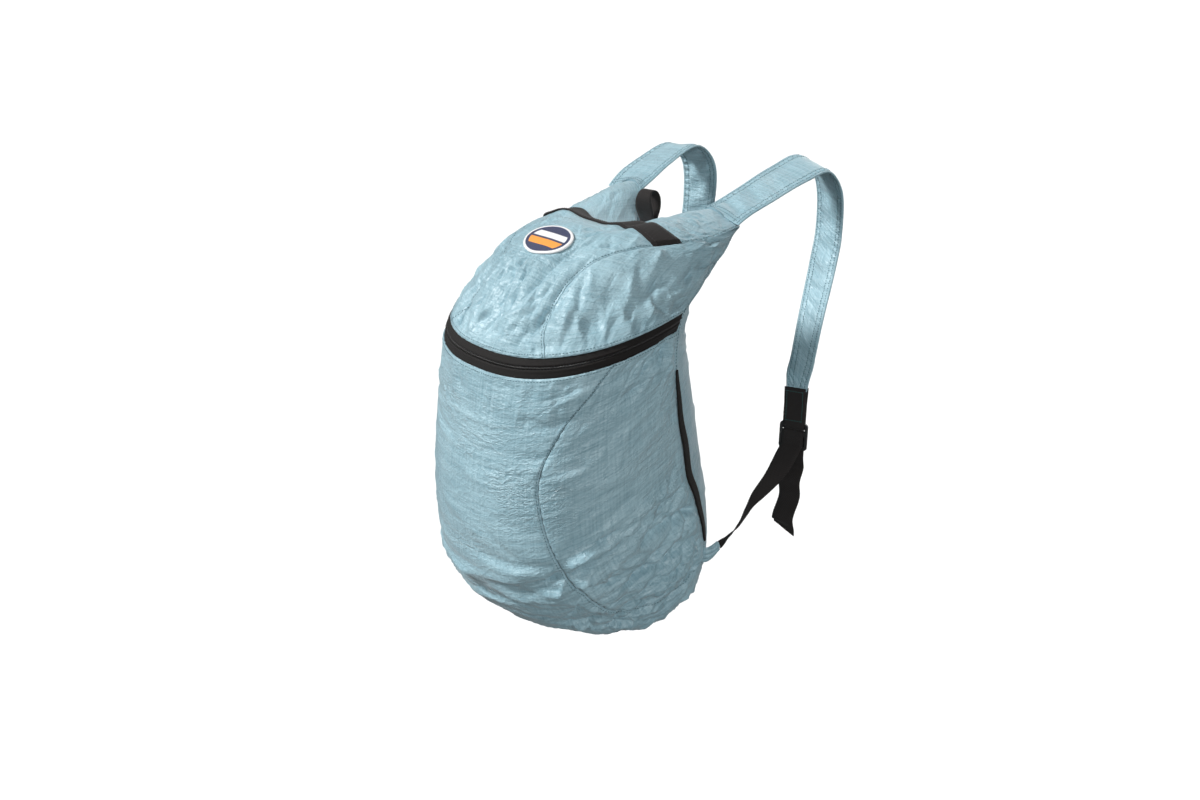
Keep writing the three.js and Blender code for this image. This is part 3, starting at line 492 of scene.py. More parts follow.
class Piece:
    """A finished piece: its mesh, its place on the body, its slot and its material."""

    def __init__(self, name: str, slot: str, material: bpy.types.Material, *nodes: str) -> None:
        """Keeps what the piece is.

        Args:
            name: Its name.
            slot: The colour slot that it belongs to.
            material: Its finish.
            nodes: The nodes that it stands for.
        """
        self.name = name
        self.slot = slot
        self.material = material
        self.nodes = nodes
        self.object: bpy.types.Object | None = None

    def mesh(self, points: Array, faces: Array, uv: Array | None = None, weld: bool = False) -> "Piece":
        """Puts points and faces into a mesh and fastens it to the body.

        Args:
            points: Vertices in millimetres of the standing bag.
            faces: Vertex numbers, three or four to a row.
            uv: Two coordinates for each vertex, in metres.
            weld: True to merge points that meet, as at poles.

        Returns:
            This piece.
        """
        points = (points.reshape(-1, 3) - SHOULDER_REST) * MM
        count, corners = faces.shape
        mesh = bpy.data.meshes.new(self.name)
        mesh.vertices.add(len(points))
        mesh.vertices.foreach_set("co", points.ravel())
        mesh.loops.add(count * corners)
        mesh.loops.foreach_set("vertex_index", faces.ravel().astype(np.int32))
        mesh.polygons.add(count)
        mesh.polygons.foreach_set("loop_start", np.arange(0, count * corners, corners, dtype=np.int32))
        mesh.polygons.foreach_set("use_smooth", np.ones(count, bool))
        if uv is not None:
            layer = mesh.uv_layers.new(name="UVMap")
            layer.data.foreach_set("uv", uv.reshape(-1, 2)[faces.ravel()].ravel())
        mesh.update(calc_edges=True)
        mesh.validate()
        if weld:
            form = bmesh.new()
            form.from_mesh(mesh)
            bmesh.ops.remove_doubles(form, verts=form.verts, dist=WELD)
            bmesh.ops.recalc_face_normals(form, faces=form.faces)
            form.to_mesh(mesh)
            form.free()
        return self.fasten(mesh)

    def fasten(self, mesh: bpy.types.Mesh) -> "Piece":
        """Makes the object, rides it on the body and logs it.

        Args:
            mesh: The finished mesh, in metres of the row frame.

        Returns:
            This piece.
        """
        mesh.materials.clear()
        mesh.materials.append(self.material)
        self.object = bpy.data.objects.new(self.name, mesh)
        bpy.context.collection.objects.link(self.object)
        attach(self.object, BODY)
        if self.nodes:
            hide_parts(*self.nodes)
        LOG.info("%s: %d vertices", self.name, len(mesh.vertices))
        return self

    def between(self, outer: Array, inner: Array, uv: Array) -> "Piece":
        """A closed wall between two grids, with rows going up and columns to the right from outside.

        Args:
            outer: Grid of outer points.
            inner: Grid of inner points.
            uv: Grid of coordinates in metres.

        Returns:
            This piece.
        """
        rows, columns = outer.shape[:2]
        number = np.arange(rows * columns).reshape(rows, columns)
        under = number + rows * columns
        faces = np.vstack([
            cells(number),
            quads(under[:-1, :-1], under[1:, :-1], under[1:, 1:], under[:-1, 1:]),
            quads(number[:-1, 0], number[1:, 0], under[1:, 0], under[:-1, 0]),
            quads(number[:-1, -1], under[:-1, -1], under[1:, -1], number[1:, -1]),
            quads(number[0, :-1], under[0, :-1], under[0, 1:], number[0, 1:]),
            quads(number[-1, :-1], number[-1, 1:], under[-1, 1:], under[-1, :-1]),
        ])
        points = np.concatenate([outer.reshape(-1, 3), inner.reshape(-1, 3)])
        return self.mesh(points, faces, np.concatenate([uv.reshape(-1, 2)] * 2))


class Value:
    """A shader socket that takes part in Python arithmetic; each operator adds a Math node."""

    def __init__(self, shader: "Shader", socket: bpy.types.NodeSocket) -> None:
        """Keeps the socket and the shader that it belongs to."""
        self.shader = shader
        self.socket = socket

    def __add__(self, other: Any) -> "Value":
        """The sum."""
        return self.shader.math("ADD", self, other)

    def __radd__(self, other: Any) -> "Value":
        """The sum, reflected."""
        return self.shader.math("ADD", other, self)

    def __sub__(self, other: Any) -> "Value":
        """The difference."""
        return self.shader.math("SUBTRACT", self, other)

    def __rsub__(self, other: Any) -> "Value":
        """The difference, reflected."""
        return self.shader.math("SUBTRACT", other, self)

    def __mul__(self, other: Any) -> "Value":
        """The product."""
        return self.shader.math("MULTIPLY", self, other)

    def __rmul__(self, other: Any) -> "Value":
        """The product, reflected."""
        return self.shader.math("MULTIPLY", other, self)

    def __pow__(self, other: Any) -> "Value":
        """The power."""
        return self.shader.math("POWER", self, other)

    def __abs__(self) -> "Value":
        """The size without its sign."""
        return self.shader.math("ABSOLUTE", self)

    def sine(self) -> "Value":
        """The sine of an angle in radians."""
        return self.shader.math("SINE", self)

    def step(self, low: float, high: float) -> "Value":
        """A smooth step from 0 at low to 1 at high."""
        inputs = {"Value": self, "From Min": low, "From Max": high}
        return self.shader.value("ShaderNodeMapRange", {"interpolation_type": "SMOOTHSTEP"}, inputs)


class Shader:
    """A material under construction, with one way to add any node."""

    def __init__(self, name: str) -> None:
        """Starts from the default surface shader.

        Args:
            name: The material's name.
        """
        self.material = bpy.data.materials.new(name)
        self.material.use_nodes = True
        self.tree = self.material.node_tree
        self.surface = self.tree.nodes["Principled BSDF"]

    def node(self, kind: str, settings: dict[str, Any], inputs: dict[Any, Any]) -> bpy.types.Node:
        """Adds a node.

        Args:
            kind: The node's type.
            settings: Its properties, set first.
            inputs: Values or links of its sockets.

        Returns:
            The node.
        """
        node = self.tree.nodes.new(kind)
        for key, value in settings.items():
            setattr(node, key, value)
        for key, value in inputs.items():
            self.feed(node.inputs[key], value)
        return node

    def feed(self, socket: bpy.types.NodeSocket, value: Any) -> None:
        """Links a value to a socket, or sets a number on it.

        Args:
            socket: The socket.
            value: A Value, or what the socket holds by itself.
        """
        if isinstance(value, Value):
            self.tree.links.new(value.socket, socket)
        else:
            socket.default_value = value

    def value(self, kind: str, settings: dict[str, Any], inputs: dict[Any, Any], output: Any = 0) -> Value:
        """A node's output as a value."""
        return Value(self, self.node(kind, settings, inputs).outputs[output])

    def math(self, operation: str, *terms: Any) -> Value:
        """One Math node."""
        return self.value("ShaderNodeMath", {"operation": operation}, dict(enumerate(terms)))

    def cloth_place(self) -> tuple[Value, Value]:
        """Reads the piece's own map.

        Returns:
            Its two coordinates, in metres.
        """
        place = self.value("ShaderNodeUVMap", {"uv_map": "UVMap"}, {})
        parts = self.node("ShaderNodeSeparateXYZ", {}, {0: place})
        return Value(self, parts.outputs[0]), Value(self, parts.outputs[1])

    def noise(self, x: Any, y: Any, detail: float = 2.0, roughness: float = 0.5) -> Value:
        """Smooth noise at a place.

        Args:
            x: First coordinate, in waves.
            y: Second coordinate, in waves.
            detail: How many finer layers are added.
            roughness: How strong each is beside the one before.

        Returns:
            Values from 0 to 1.
        """
        place = self.value("ShaderNodeCombineXYZ", {}, {0: x, 1: y})
        settings = {"Vector": place, "Scale": 1.0, "Detail": detail, "Roughness": roughness}
        return self.value("ShaderNodeTexNoise", {}, settings, "Fac")

    def grain(self, scale: float, detail: float = 2.0) -> Value:
        """Smooth noise in object space.

        Args:
            scale: Waves for each metre.
            detail: How many finer layers are added.

        Returns:
            Values from 0 to 1.
        """
        place = self.value("ShaderNodeTexCoord", {}, {}, "Object")
        settings = {"Vector": place, "Scale": scale, "Detail": detail}
        return self.value("ShaderNodeTexNoise", {}, settings, "Fac")

    def blend(self, part: Any, first: Any, second: Any) -> Value:
        """A colour between two colours."""
        inputs = {0: part, 6: first, 7: second}
        return self.value("ShaderNodeMix", {"data_type": "RGBA"}, inputs, 2)

    def finish(self, height: Value | None, depth: float, sockets: dict[str, Any]) -> bpy.types.Material:
        """Feeds the surface shader.

        Args:
            height: Relief from 0 to 1, or None.
            depth: The relief's depth in metres.
            sockets: Values of the surface shader's sockets.

        Returns:
            The material.
        """
        for key, value in sockets.items():
            self.feed(self.surface.inputs[key], value)
        if height is not None:
            inputs = {"Height": height, "Distance": depth, "Strength": 1.0}
            self.feed(self.surface.inputs["Normal"], self.value("ShaderNodeBump", {}, inputs, "Normal"))
        return self.material


Colour = tuple[float, float, float, float]


@dataclass(frozen=True)
class Nylon:
    """Crinkled light nylon: slubbed threads both ways, fine crumpling and a soft sheen.

    The pairs are waves for each metre round and up the bag; slub holds them along and across a thread.
    """

    light: Colour = (0.385, 0.565, 0.632, 1)
    dark: Colour = (0.205, 0.350, 0.412, 1)
    depth: float = 0.0015
    slub: Pair = (16.0, 560.0)
    crumple: Pair = (42.0, 120.0)
    crush: Pair = (95.0, 130.0)
    patches: Pair = (11.0, 17.0)
    fine: Pair = (190.0, 330.0)
    clouds: Pair = (7.0, 10.0)

    def material(self) -> bpy.types.Material:
        """Sums of noises of different size, some of them sharpened to ridges.

        Returns:
            The material.
        """
        shader = Shader("crinkled_nylon")
        u, v = shader.cloth_place()

        def waves(size: Pair, detail: float = 2.0, roughness: float = 0.5) -> Value:
            """Noise with so many waves for each metre round and up the bag."""
            return shader.noise(u * size[0], v * size[1], detail, roughness)

        def crests(noise: Value, sharpness: float) -> Value:
            """Narrow ridges along the lines where a noise passes its middle."""
            return (1.0 - abs(noise * 2.0 - 1.0)) ** sharpness

        slub = waves(self.slub) * 0.58 + waves(self.slub[::-1]) * 0.42
        patch = waves(self.patches).step(0.40, 0.66)
        ridge = crests(waves(self.crumple, 4.0, 0.62), 6.0) * patch
        ridge = ridge + crests(waves(self.crush, 3.0, 0.6), 7.0) * 0.45
        fine = waves(self.fine, 3.0, 0.6)
        cloud = waves(self.clouds)
        tone = (slub * 0.56 + fine * 0.18 + cloud * 0.26).step(0.34, 0.66)
        height = slub * 0.22 + ridge * 0.62 + fine * 0.2
        return shader.finish(height, self.depth, {
            "Base Color": shader.blend(tone, self.dark, self.light),
            "Roughness": 0.30 + fine * 0.24,
            "Sheen Weight": 0.22,
            "Sheen Roughness": 0.4,
            "Specular IOR Level": 0.5,
        })


@dataclass(frozen=True)
class Webbing:
    """Dull woven tape with ribs at a given pitch, in metres."""

    name: str = "black_webbing"
    pitch: float = 0.0021
    light: Colour = (0.030, 0.0265, 0.0255, 1)
    dark: Colour = (0.0085, 0.0075, 0.0075, 1)
    depth: float = 0.0004
    fuzz: float = 900.0
    wear: float = 30.0
    length_share: float = 0.8

    def material(self) -> bpy.types.Material:
        """The product of two sines as the weave, with fuzz and wear as noise.

        Returns:
            The material.
        """
        shader = Shader(self.name)
        u, v = shader.cloth_place()
        turn = 2 * math.pi / self.pitch
        weave = (u * turn).sine() * (v * (turn * self.length_share)).sine() * 0.5 + 0.5
        fuzz = shader.noise(u * self.fuzz, v * self.fuzz)
        worn = shader.noise(u * self.wear, v * self.wear)
        tone = weave * 0.5 + fuzz * 0.3 + worn * 0.2
        return shader.finish(weave * 0.8 + fuzz * 0.2, self.depth, {
            "Base Color": shader.blend(tone, self.dark, self.light),
            "Roughness": 0.62 + fuzz * 0.2,
            "Sheen Weight": 0.06,
            "Specular IOR Level": 0.18,
        })


@dataclass(frozen=True)
class Plastic:
    """Moulded satin black with a faint grain."""

    light: Colour = (0.022, 0.021, 0.021, 1)
    dark: Colour = (0.011, 0.0105, 0.0105, 1)
    grain: float = 2600.0
    wear: float = 120.0
    depth: float = 0.00006

    def material(self) -> bpy.types.Material:
        """A fine grain as relief, and wear in the colour and the gloss.

        Returns:
            The material.
        """
        shader = Shader("satin_plastic")
        fine = shader.grain(self.grain)
        worn = shader.grain(self.wear, 4.0)
        return shader.finish(fine, self.depth, {
            "Base Color": shader.blend(worn, self.dark, self.light),
            "Roughness": 0.3 + worn * 0.2,
        })


@dataclass(frozen=True)
class Thread:
    """Sewing thread of one colour, lighter where its twist catches the light."""

    name: str
    dark: Colour
    light: Colour
    twist: float = 1800.0
    depth: float = 0.0001

    def material(self) -> bpy.types.Material:
        """One noise for relief, colour and gloss.

        Returns:
            The material.
        """
        shader = Shader(self.name)
        twist = shader.grain(self.twist)
        return shader.finish(twist, self.depth, {
            "Base Color": shader.blend(twist, self.dark, self.light),
            "Roughness": 0.5 + twist * 0.2,
        })


@dataclass(frozen=True)
class Badge:
    """A woven badge: pale rim, navy field, an orange bar and a pale bar across it."""

    rim: Colour = (0.82, 0.82, 0.82, 1)
    navy: Colour = (0.028, 0.036, 0.095, 1)
    orange: Colour = (0.90, 0.33, 0.045, 1)
    threads: Pair = (95.0, 120.0)
    low_bar: Pair = (-0.50, -0.10)
    high_bar: Pair = (0.02, 0.40)
    soft: float = 0.02
    bars_within: Pair = (0.76, 0.78)
    rim_from: Pair = (0.885, 0.90)
    depth: float = 0.0002

    def material(self) -> bpy.types.Material:
        """Steps of the height for the bars and of the radius for the rim, from -1 to 1 across the badge.

        Returns:
            The material.
        """
        shader = Shader("woven_badge")
        u, v = shader.cloth_place()
        radius = (u * u + v * v) ** 0.5
        thread = (u * self.threads[0]).sine() * (v * self.threads[1]).sine() * 0.5 + 0.5

        def bar(low: float, high: float) -> Value:
            """1 between two heights, with soft edges."""
            return v.step(low, low + self.soft) * (1.0 - v.step(high, high + self.soft))

        colour = shader.blend(bar(*self.low_bar), self.navy, self.orange)
        colour = shader.blend(bar(*self.high_bar), colour, self.rim)
        inside = 1.0 - radius.step(*self.bars_within)
        colour = shader.blend(inside, self.navy, colour)
        colour = shader.blend(radius.step(*self.rim_from), colour, self.rim)
        return shader.finish(thread, self.depth, {
            "Base Color": colour,
            "Roughness": 0.5 + thread * 0.2,
            "Sheen Weight": 0.1,
        })


NYLON = Nylon().material()
WEBBING = Webbing().material()
ZIP_TAPE = Webbing(
    name="zip_tape",
    pitch=0.0013,
    light=(0.017, 0.0152, 0.0145, 1),
    dark=(0.0062, 0.0055, 0.0053, 1),
    depth=0.00025,
).material()
PLASTIC = Plastic().material()
BADGE = Badge().material()
# The blue thread's dark colours are partly its own tone and partly painted shade of the needle holes along
# every seam
BLUE_THREAD_AND_HOLE_SHADE = Thread("blue_thread_and_hole_shade", (0.042, 0.092, 0.115, 1), (0.085, 0.165, 0.20, 1)).material()
GREEN_THREAD = Thread("green_thread", (0.012, 0.075, 0.070, 1), (0.03, 0.15, 0.14, 1)).material()
BLACK_THREAD = Thread("black_thread", (0.012, 0.011, 0.011, 1), (0.035, 0.033, 0.032, 1)).material()


def edge_distances(points: Array) -> dict[Edge, Array]:
    """Lengths along a grid's rows and columns, summed from each edge.

    Args:
        points: Grid of points.

    Returns:
        For each edge, how far every point lies from it in millimetres.
    """
    left = np.pad(np.cumsum(np.linalg.norm(np.diff(points, axis=1), axis=2), 1), ((0, 0), (1, 0)))
    bottom = np.pad(np.cumsum(np.linalg.norm(np.diff(points, axis=0), axis=2), 0), ((1, 0), (0, 0)))
    return {
        Edge.LEFT: left,
        Edge.RIGHT: left[:, -1:] - left,
        Edge.BOTTOM: bottom,
        Edge.TOP: bottom[-1:] - bottom,
    }


def strip_map(away: dict[Edge, Array]) -> Array:
    """A strip's own coordinates, its lengths across and along in metres."""
    return np.stack([away[Edge.LEFT], away[Edge.BOTTOM]], -1) * MM


def grid_normals(points: Array) -> Array:
    """Unit normals of a grid, from the cross product of its column and row slopes."""
    return unit(np.cross(np.gradient(points, axis=1), np.gradient(points, axis=0)))


def grid_area(points: Array) -> float:
    """The area of a grid's cells, half the cross products of their diagonals.

    Args:
        points: Grid of points in millimetres.

    Returns:
        Square metres.
    """
    first = points[1:, 1:] - points[:-1, :-1]
    second = points[1:, :-1] - points[:-1, 1:]
    return float(np.linalg.norm(np.cross(first, second), axis=-1).sum() / 2 * MM * MM)


def inset_line(points: Array, normals: Array, away: Array, edge: Edge, inset: float) -> TwoArrays:
    """The line on a grid that keeps a distance from one edge, by straight blends between cells.

    Args:
        points: The grid.
        normals: Its normals.
        away: Distances from the edge.
        edge: Which edge.
        inset: The distance to keep.

    Returns:
        Points and normals of the line.
    """
    if edge in (Edge.LEFT, Edge.RIGHT):
        points, normals, away = points.swapaxes(0, 1), normals.swapaxes(0, 1), away.T
    if edge in (Edge.RIGHT, Edge.TOP):
        points, normals, away = points[::-1], normals[::-1], away[::-1]
    first = np.clip((away < inset).sum(axis=0) - 1, 0, len(away) - 2)
    column = np.arange(away.shape[1])
    low, high = away[first, column], away[first + 1, column]
    part = np.clip((inset - low) / np.maximum(high - low, 1e-9), 0, 1)[:, None]
    place = mix(points[first, column], points[first + 1, column], part)
    return place, unit(mix(normals[first, column], normals[first + 1, column], part))


@dataclass(frozen=True)
class Stitch:
    """A stitch's pitch, length and half thickness in millimetres."""

    pitch: float = 3.4
    length: float = 2.5
    radius: float = 0.36


SEAM_STITCH = Stitch()
STRAP_STITCH = Stitch(3.0, 2.2, 0.42)
STRAP_ROOT_STITCH = Stitch(3.0, 2.3, 0.36)
TAB_STITCH = Stitch(2.8, 2.1, 0.4)


class Stitches:
    """Rows of thread, gathered and joined into one piece.

    A stitch is a spindle of four rings: their places along it, their sizes and how far they stand out.
    """

    RINGS = np.array([-0.5, -0.32, 0.32, 0.5])
    SIZES = np.array([0.35, 1.0, 1.0, 0.35])
    STANDS = np.array([-0.9, 0.35, 0.35, -0.9])
    SIDES = 4

    def __init__(self) -> None:
        """Starts with no rows."""
        self.points: list[Array] = []
        self.faces: list[Array] = []
        self.total = 0

    def row(self, path: Array, normals: Array, stitch: Stitch = SEAM_STITCH) -> None:
        """Lays stitches along a path; each is a spindle whose ends dip into the cloth.

        Args:
            path: Points on the cloth.
            normals: The cloth's normals there.
            stitch: The size of the stitches.
        """
        reach = lengths_along(path)
        count = max(int(reach[-1] / stitch.pitch), 2)
        place = (np.arange(count) + 0.5) * reach[-1] / count

        def read(values: Array, at: Array) -> Array:
            """Values along the path at given lengths."""
            return np.stack([np.interp(at, reach, values[:, k]) for k in range(3)], -1)

        along = unit(read(path, place + 0.5) - read(path, place - 0.5))
        up = unit(read(normals, place))
        self.spindles(read(path, place), along, up, stitch.length, stitch.radius)

    def spindles(self, centres: Array, along: Array, up: Array, length: float, radius: float) -> None:
        """Adds one four-sided spindle for each centre.

        Args:
            centres: Middles of the spindles.
            along: Unit directions of their length.
            up: Unit directions away from the cloth.
            length: Their length.
            radius: Half their thickness.
        """
        side = np.cross(along, up)
        angle = np.arange(self.SIDES) * 2 * np.pi / self.SIDES + np.pi / 4
        ring = side[:, None] * np.cos(angle)[None, :, None] + up[:, None] * np.sin(angle)[None, :, None]
        place = (self.RINGS * length)[None, :, None]
        stand = (self.STANDS * radius)[None, :, None]
        size = (self.SIZES * radius)[None, :, None, None]
        middle = centres[:, None] + along[:, None] * place + up[:, None] * stand
        points = middle[:, :, None] + ring[:, None] * size
        number = np.arange(len(self.RINGS) * self.SIDES).reshape(len(self.RINGS), self.SIDES)
        following = np.roll(number, -1, axis=1)
        walls = np.stack([number[:-1], following[:-1], following[1:], number[1:]], -1).reshape(-1, 4)
        ends = np.stack([number[0, ::-1], number[-1]])
        cell = np.vstack([walls, ends])
        step = len(self.RINGS) * self.SIDES
        first = self.total + np.arange(len(centres)) * step
        self.faces.append((cell[None] + first[:, None, None]).reshape(-1, 4))
        self.points.append(points.reshape(-1, 3))
        self.total += len(centres) * step

    def piece(self, name: str, slot: str, material: bpy.types.Material, *nodes: str) -> Piece:
        """Joins the rows into one piece."""
        return Piece(name, slot, material, *nodes).mesh(np.vstack(self.points), np.vstack(self.faces))


@dataclass(frozen=True)
class Sewing:
    """How sewing shapes the cloth beside an edge, in millimetres.

    Creases are calmed by a share near it, and puckers run along it with a pitch that sways. A seam
    turns the edge in, a hem raises it over the tape within flat limits, and thread draws a groove.
    """

    calm: float = 0.65
    calm_reach: float = 6.0
    pucker: float = 0.65
    pucker_reach: float = 8.0
    pucker_pitch: float = 1.5
    sway: float = 2.2
    sway_pitch: float = 19.0
    swell: float = 0.4
    swell_pitch: float = 31.0
    seam_depth: float = 0.9
    seam_width: float = 2.0
    hem_rise: float = 0.35
    hem_width: Pair = (5.0, 7.5)
    hem_flat: Pair = (5.0, 9.0)
    hem_limits: Pair = (0.0, 0.8)
    groove_depth: float = 0.4
    groove_width: float = 1.0

    def puckers(self, along: Array, distance: Array) -> Array:
        """Small waves along an edge, a sine whose phase sways, that die away from it.

        Args:
            along: Lengths along the edge.
            distance: Distances from the edge.

        Returns:
            Heights.
        """
        wave = np.sin(along / self.pucker_pitch + self.sway * np.sin(along / self.sway_pitch))
        size = 1 - self.swell + self.swell * np.sin(along / self.swell_pitch)
        return self.pucker * (wave * size) * np.exp(-distance / self.pucker_reach)

    def fold(self, join: Join, distance: Array) -> Array:
        """The turned-in seam, a bell, or the raised hem, a smooth step.

        Args:
            join: How the edge is sewn.
            distance: Distances from the edge.

        Returns:
            Heights.
        """
        if join is Join.SEAM:
            return -self.seam_depth * np.exp(-((distance / self.seam_width) ** 2))
        return self.hem_rise * (1 - ease(*self.hem_width, distance))

    def groove(self, distance: Array, inset: float) -> Array:
        """The line that thread draws in at an inset."""
        return -self.groove_depth * np.exp(-(((distance - inset) / self.groove_width) ** 2))


@dataclass
class Panel:
    """One sewn panel of the bag, on a grid of angles and levels."""

    node: str
    around: Array
    level: Array
    joins: dict[Edge, Join]
    stitched: dict[Edge, float] = field(default_factory=dict)
    sewing: Sewing = Sewing()

    def relief(self, base: Array) -> Array:
        """Folds and creases, with the marks of sewing along each edge.

        Args:
            base: The panel's smooth grid.

        Returns:
            Heights in millimetres.
        """
        sewing = self.sewing
        away = edge_distances(base)
        nearest = np.minimum.reduce([away[edge] for edge in self.joins])
        calmed = 1 - sewing.calm * np.exp(-nearest / sewing.calm_reach)
        height = FORM.crinkle(self.around, self.level) * calmed
        for edge, join in self.joins.items():
            along = away[Edge.BOTTOM if edge in (Edge.LEFT, Edge.RIGHT) else Edge.LEFT]
            height = height + sewing.puckers(along, away[edge]) + sewing.fold(join, away[edge])
            if edge in self.stitched:
                height = height + sewing.groove(away[edge], self.stitched[edge])
        for edge in (edge for edge, join in self.joins.items() if join is Join.HEM):
            over_tape = 1 - ease(*sewing.hem_flat, away[edge])
            height = mix(height, np.clip(height, *sewing.hem_limits), over_tape)
        return height + FORM.folds(self.around, self.level)

    def build(self, thread: Stitches) -> Piece:
        """Makes the panel's wall and lays its rows of stitches.

        Args:
            thread: Where the stitches are gathered.

        Returns:
            The panel.
        """
        base = FORM.smooth(self.around, self.level)
        normal = FORM.outward(self.around, self.level)
        height = self.relief(base)
        outer = base + normal * (height + WALL)[..., None]
        inner = base + normal * (height + INNER_FACE)[..., None]
        away = edge_distances(base)
        uv = np.stack([self.around * AROUND_LENGTH, self.level * LEVEL_LENGTH], -1) * MM
        piece = Piece(f"{self.node}_cloth", "nylon", NYLON, self.node).between(outer, inner, uv)
        grid_area(base)
        normals = grid_normals(outer)
        for edge, inset in self.stitched.items():
            thread.row(*inset_line(outer, normals, away[edge], edge, inset))
        return piece


SEWN_SIDES = {Edge.LEFT: Join.SEAM, Edge.RIGHT: Join.SEAM}


@dataclass
class BagCloth:
    """The seven sewn panels of the bag."""

    front_rows: tuple[int, int] = (36, 150)
    front_columns: int = 176
    side_grid: tuple[int, int] = (130, 84)
    back_grid: tuple[int, int] = (180, 110)
    lid_grid: tuple[int, int] = (120, 150)
    lid_side_grid: tuple[int, int] = (96, 110)
    seam_stitch: float = 2.6
    hem_stitch: float = 3.4
    # Inset of the row of dark thread along each lid side's back edge, which is also painted shade standing
    # for the shadow line there
    rear_stitch_and_shadow_line: float = 1.2
    lid_side_end: float = 0.985

    def middle(self, edge: TwoArrays, centre: Array, columns: int) -> TwoArrays:
        """Rows across the bag's middle; the level goes from centre to edge with the square of the way.

        Args:
            edge: Angles and levels of the right edge.
            centre: Levels in the middle.
            columns: Number of columns.

        Returns:
            Angles and levels.
        """
        share = np.linspace(-1, 1, columns)
        level = mix(centre[:, None], edge[1][:, None], share**2)
        return edge[0][:, None] * share, level

    def side(self, front: TwoArrays, back: TwoArrays, columns: int, hand: int) -> TwoArrays:
        """Rows from a front seam to the side seam, whose level follows the square of the angle.

        Args:
            front: Angles and levels of the front seam.
            back: Angles and levels of the side seam.
            columns: Number of columns.
            hand: 1 on the right and -1 on the left.

        Returns:
            Angles and levels.
        """
        start, end = front[0][:, None], back[0][:, None]
        around = mix(start, end, np.linspace(0, 1, columns))
        share = (around**2 - start**2) / (end**2 - start**2)
        level = mix(front[1][:, None], back[1][:, None], share)
        return (around, level) if hand > 0 else (-around[:, ::-1], level[:, ::-1])

    def side_rows(self) -> dict[Edge, float]:
        """The rows of thread beside both side edges."""
        return {Edge.LEFT: self.seam_stitch, Edge.RIGHT: self.seam_stitch}

    def front(self) -> Panel:
        """The front with the bottom: rows up the side seams to the anchors, then up the curved seams.

        Returns:
            The panel.
        """
        bottom = np.linspace(0, ANCHOR_LEVEL, self.front_rows[0], endpoint=False)
        body = np.linspace(SIDE_SEAM_START, 1, self.front_rows[1])
        seam = seam_point(SIDE_SEAM, body, -SEAM_INSET)
        edge = (
            np.concatenate([FORM.seam_angle(bottom) - AROUND_INSET, seam[0]]),
            np.concatenate([bottom, seam[1] - LEVEL_INSET * body]),
        )
        rise = mix(ANCHOR_ROW_CENTRE, ZIP - ZIP_HALF_FRONT - LEVEL_INSET, body)
        centre = np.concatenate([bottom / ANCHOR_LEVEL * ANCHOR_ROW_CENTRE, rise])
        joins = {**SEWN_SIDES, Edge.TOP: Join.HEM, Edge.BOTTOM: Join.SEAM}
        stitched = {**self.side_rows(), Edge.TOP: self.hem_stitch}
        return Panel("front_panel", *self.middle(edge, centre, self.front_columns), joins, stitched)

    def back(self) -> Panel:
        """The back, on level rows from side seam to side seam.

        Returns:
            The panel.
        """
        level = np.linspace(0, TOP, self.back_grid[0])
        start = (FORM.seam_angle(level) + AROUND_INSET)[:, None]
        across = mix(start, 2 * np.pi - start, np.linspace(0, 1, self.back_grid[1]))
        joins = {**SEWN_SIDES, Edge.BOTTOM: Join.SEAM, Edge.TOP: Join.SEAM}
        return Panel("back_panel", across, level[:, None] + 0 * across, joins, self.side_rows())

    def lid(self) -> Panel:
        """The lid's middle, between its two curved seams from the zip to the top edge.

        Returns:
            The panel.
        """
        rows = np.linspace(0, 1, self.lid_grid[0])
        seam = seam_point(LID_SEAM, rows, -SEAM_INSET)
        edge = (seam[0], np.minimum(seam[1] + LEVEL_INSET * (1 - rows), TOP))
        places = self.middle(edge, mix(ZIP + ZIP_HALF_FRONT + LEVEL_INSET, TOP, rows), self.lid_grid[1])
        joins = {**SEWN_SIDES, Edge.BOTTOM: Join.HEM, Edge.TOP: Join.SEAM}
        return Panel("lid_panel", *places, joins, {**self.side_rows(), Edge.BOTTOM: self.hem_stitch})

    def side_panel(self, name: str, hand: int) -> Panel:
        """A side, between the curved seam and the side seam from the anchor to the zip.

        Args:
            name: The side's name.
            hand: 1 on the right and -1 on the left.

        Returns:
            The panel.
        """
        rows = np.linspace(SIDE_SEAM_START, 1, self.side_grid[0])
        seam = seam_point(SIDE_SEAM, rows, SEAM_INSET)
        up = mix(ANCHOR_LEVEL, ZIP - zip_half(FORM.seam_angle(ZIP)) - LEVEL_INSET, rows)
        back = (FORM.seam_angle(up) - AROUND_INSET, up)
        front = (seam[0], seam[1] - LEVEL_INSET * rows)
        places = self.side(front, back, self.side_grid[1], hand)
        joins = {**SEWN_SIDES, Edge.TOP: Join.HEM}
        return Panel(f"side_panel_{name}", *places, joins, {Edge.TOP: self.hem_stitch})

    def lid_side(self, name: str, hand: int) -> Panel:
        """A side of the lid, between its curved seam and the side seam from the zip to the top edge.

        Args:
            name: The side's name.
            hand: 1 on the right and -1 on the left.

        Returns:
            The panel.
        """
        rows = np.linspace(0, self.lid_side_end, self.lid_side_grid[0])
        seam = seam_point(LID_SEAM, rows, SEAM_INSET)
        up = mix(ZIP + zip_half(FORM.seam_angle(ZIP)) + LEVEL_INSET, TOP, rows)
        back = (FORM.seam_angle(up) - AROUND_INSET, up)
        front = (seam[0], seam[1] + LEVEL_INSET * (1 - rows))
        places = self.side(front, back, self.lid_side_grid[1], hand)
        joins = {**SEWN_SIDES, Edge.BOTTOM: Join.HEM}
        # The rear row of dark thread is a seam row and also painted shade for the shadow line where the lid
        # side overhangs the back panel
        rear = Edge.RIGHT if hand > 0 else Edge.LEFT
        stitched = {Edge.BOTTOM: self.hem_stitch, rear: self.rear_stitch_and_shadow_line}
        return Panel(f"lid_side_{name}", *places, joins, stitched)

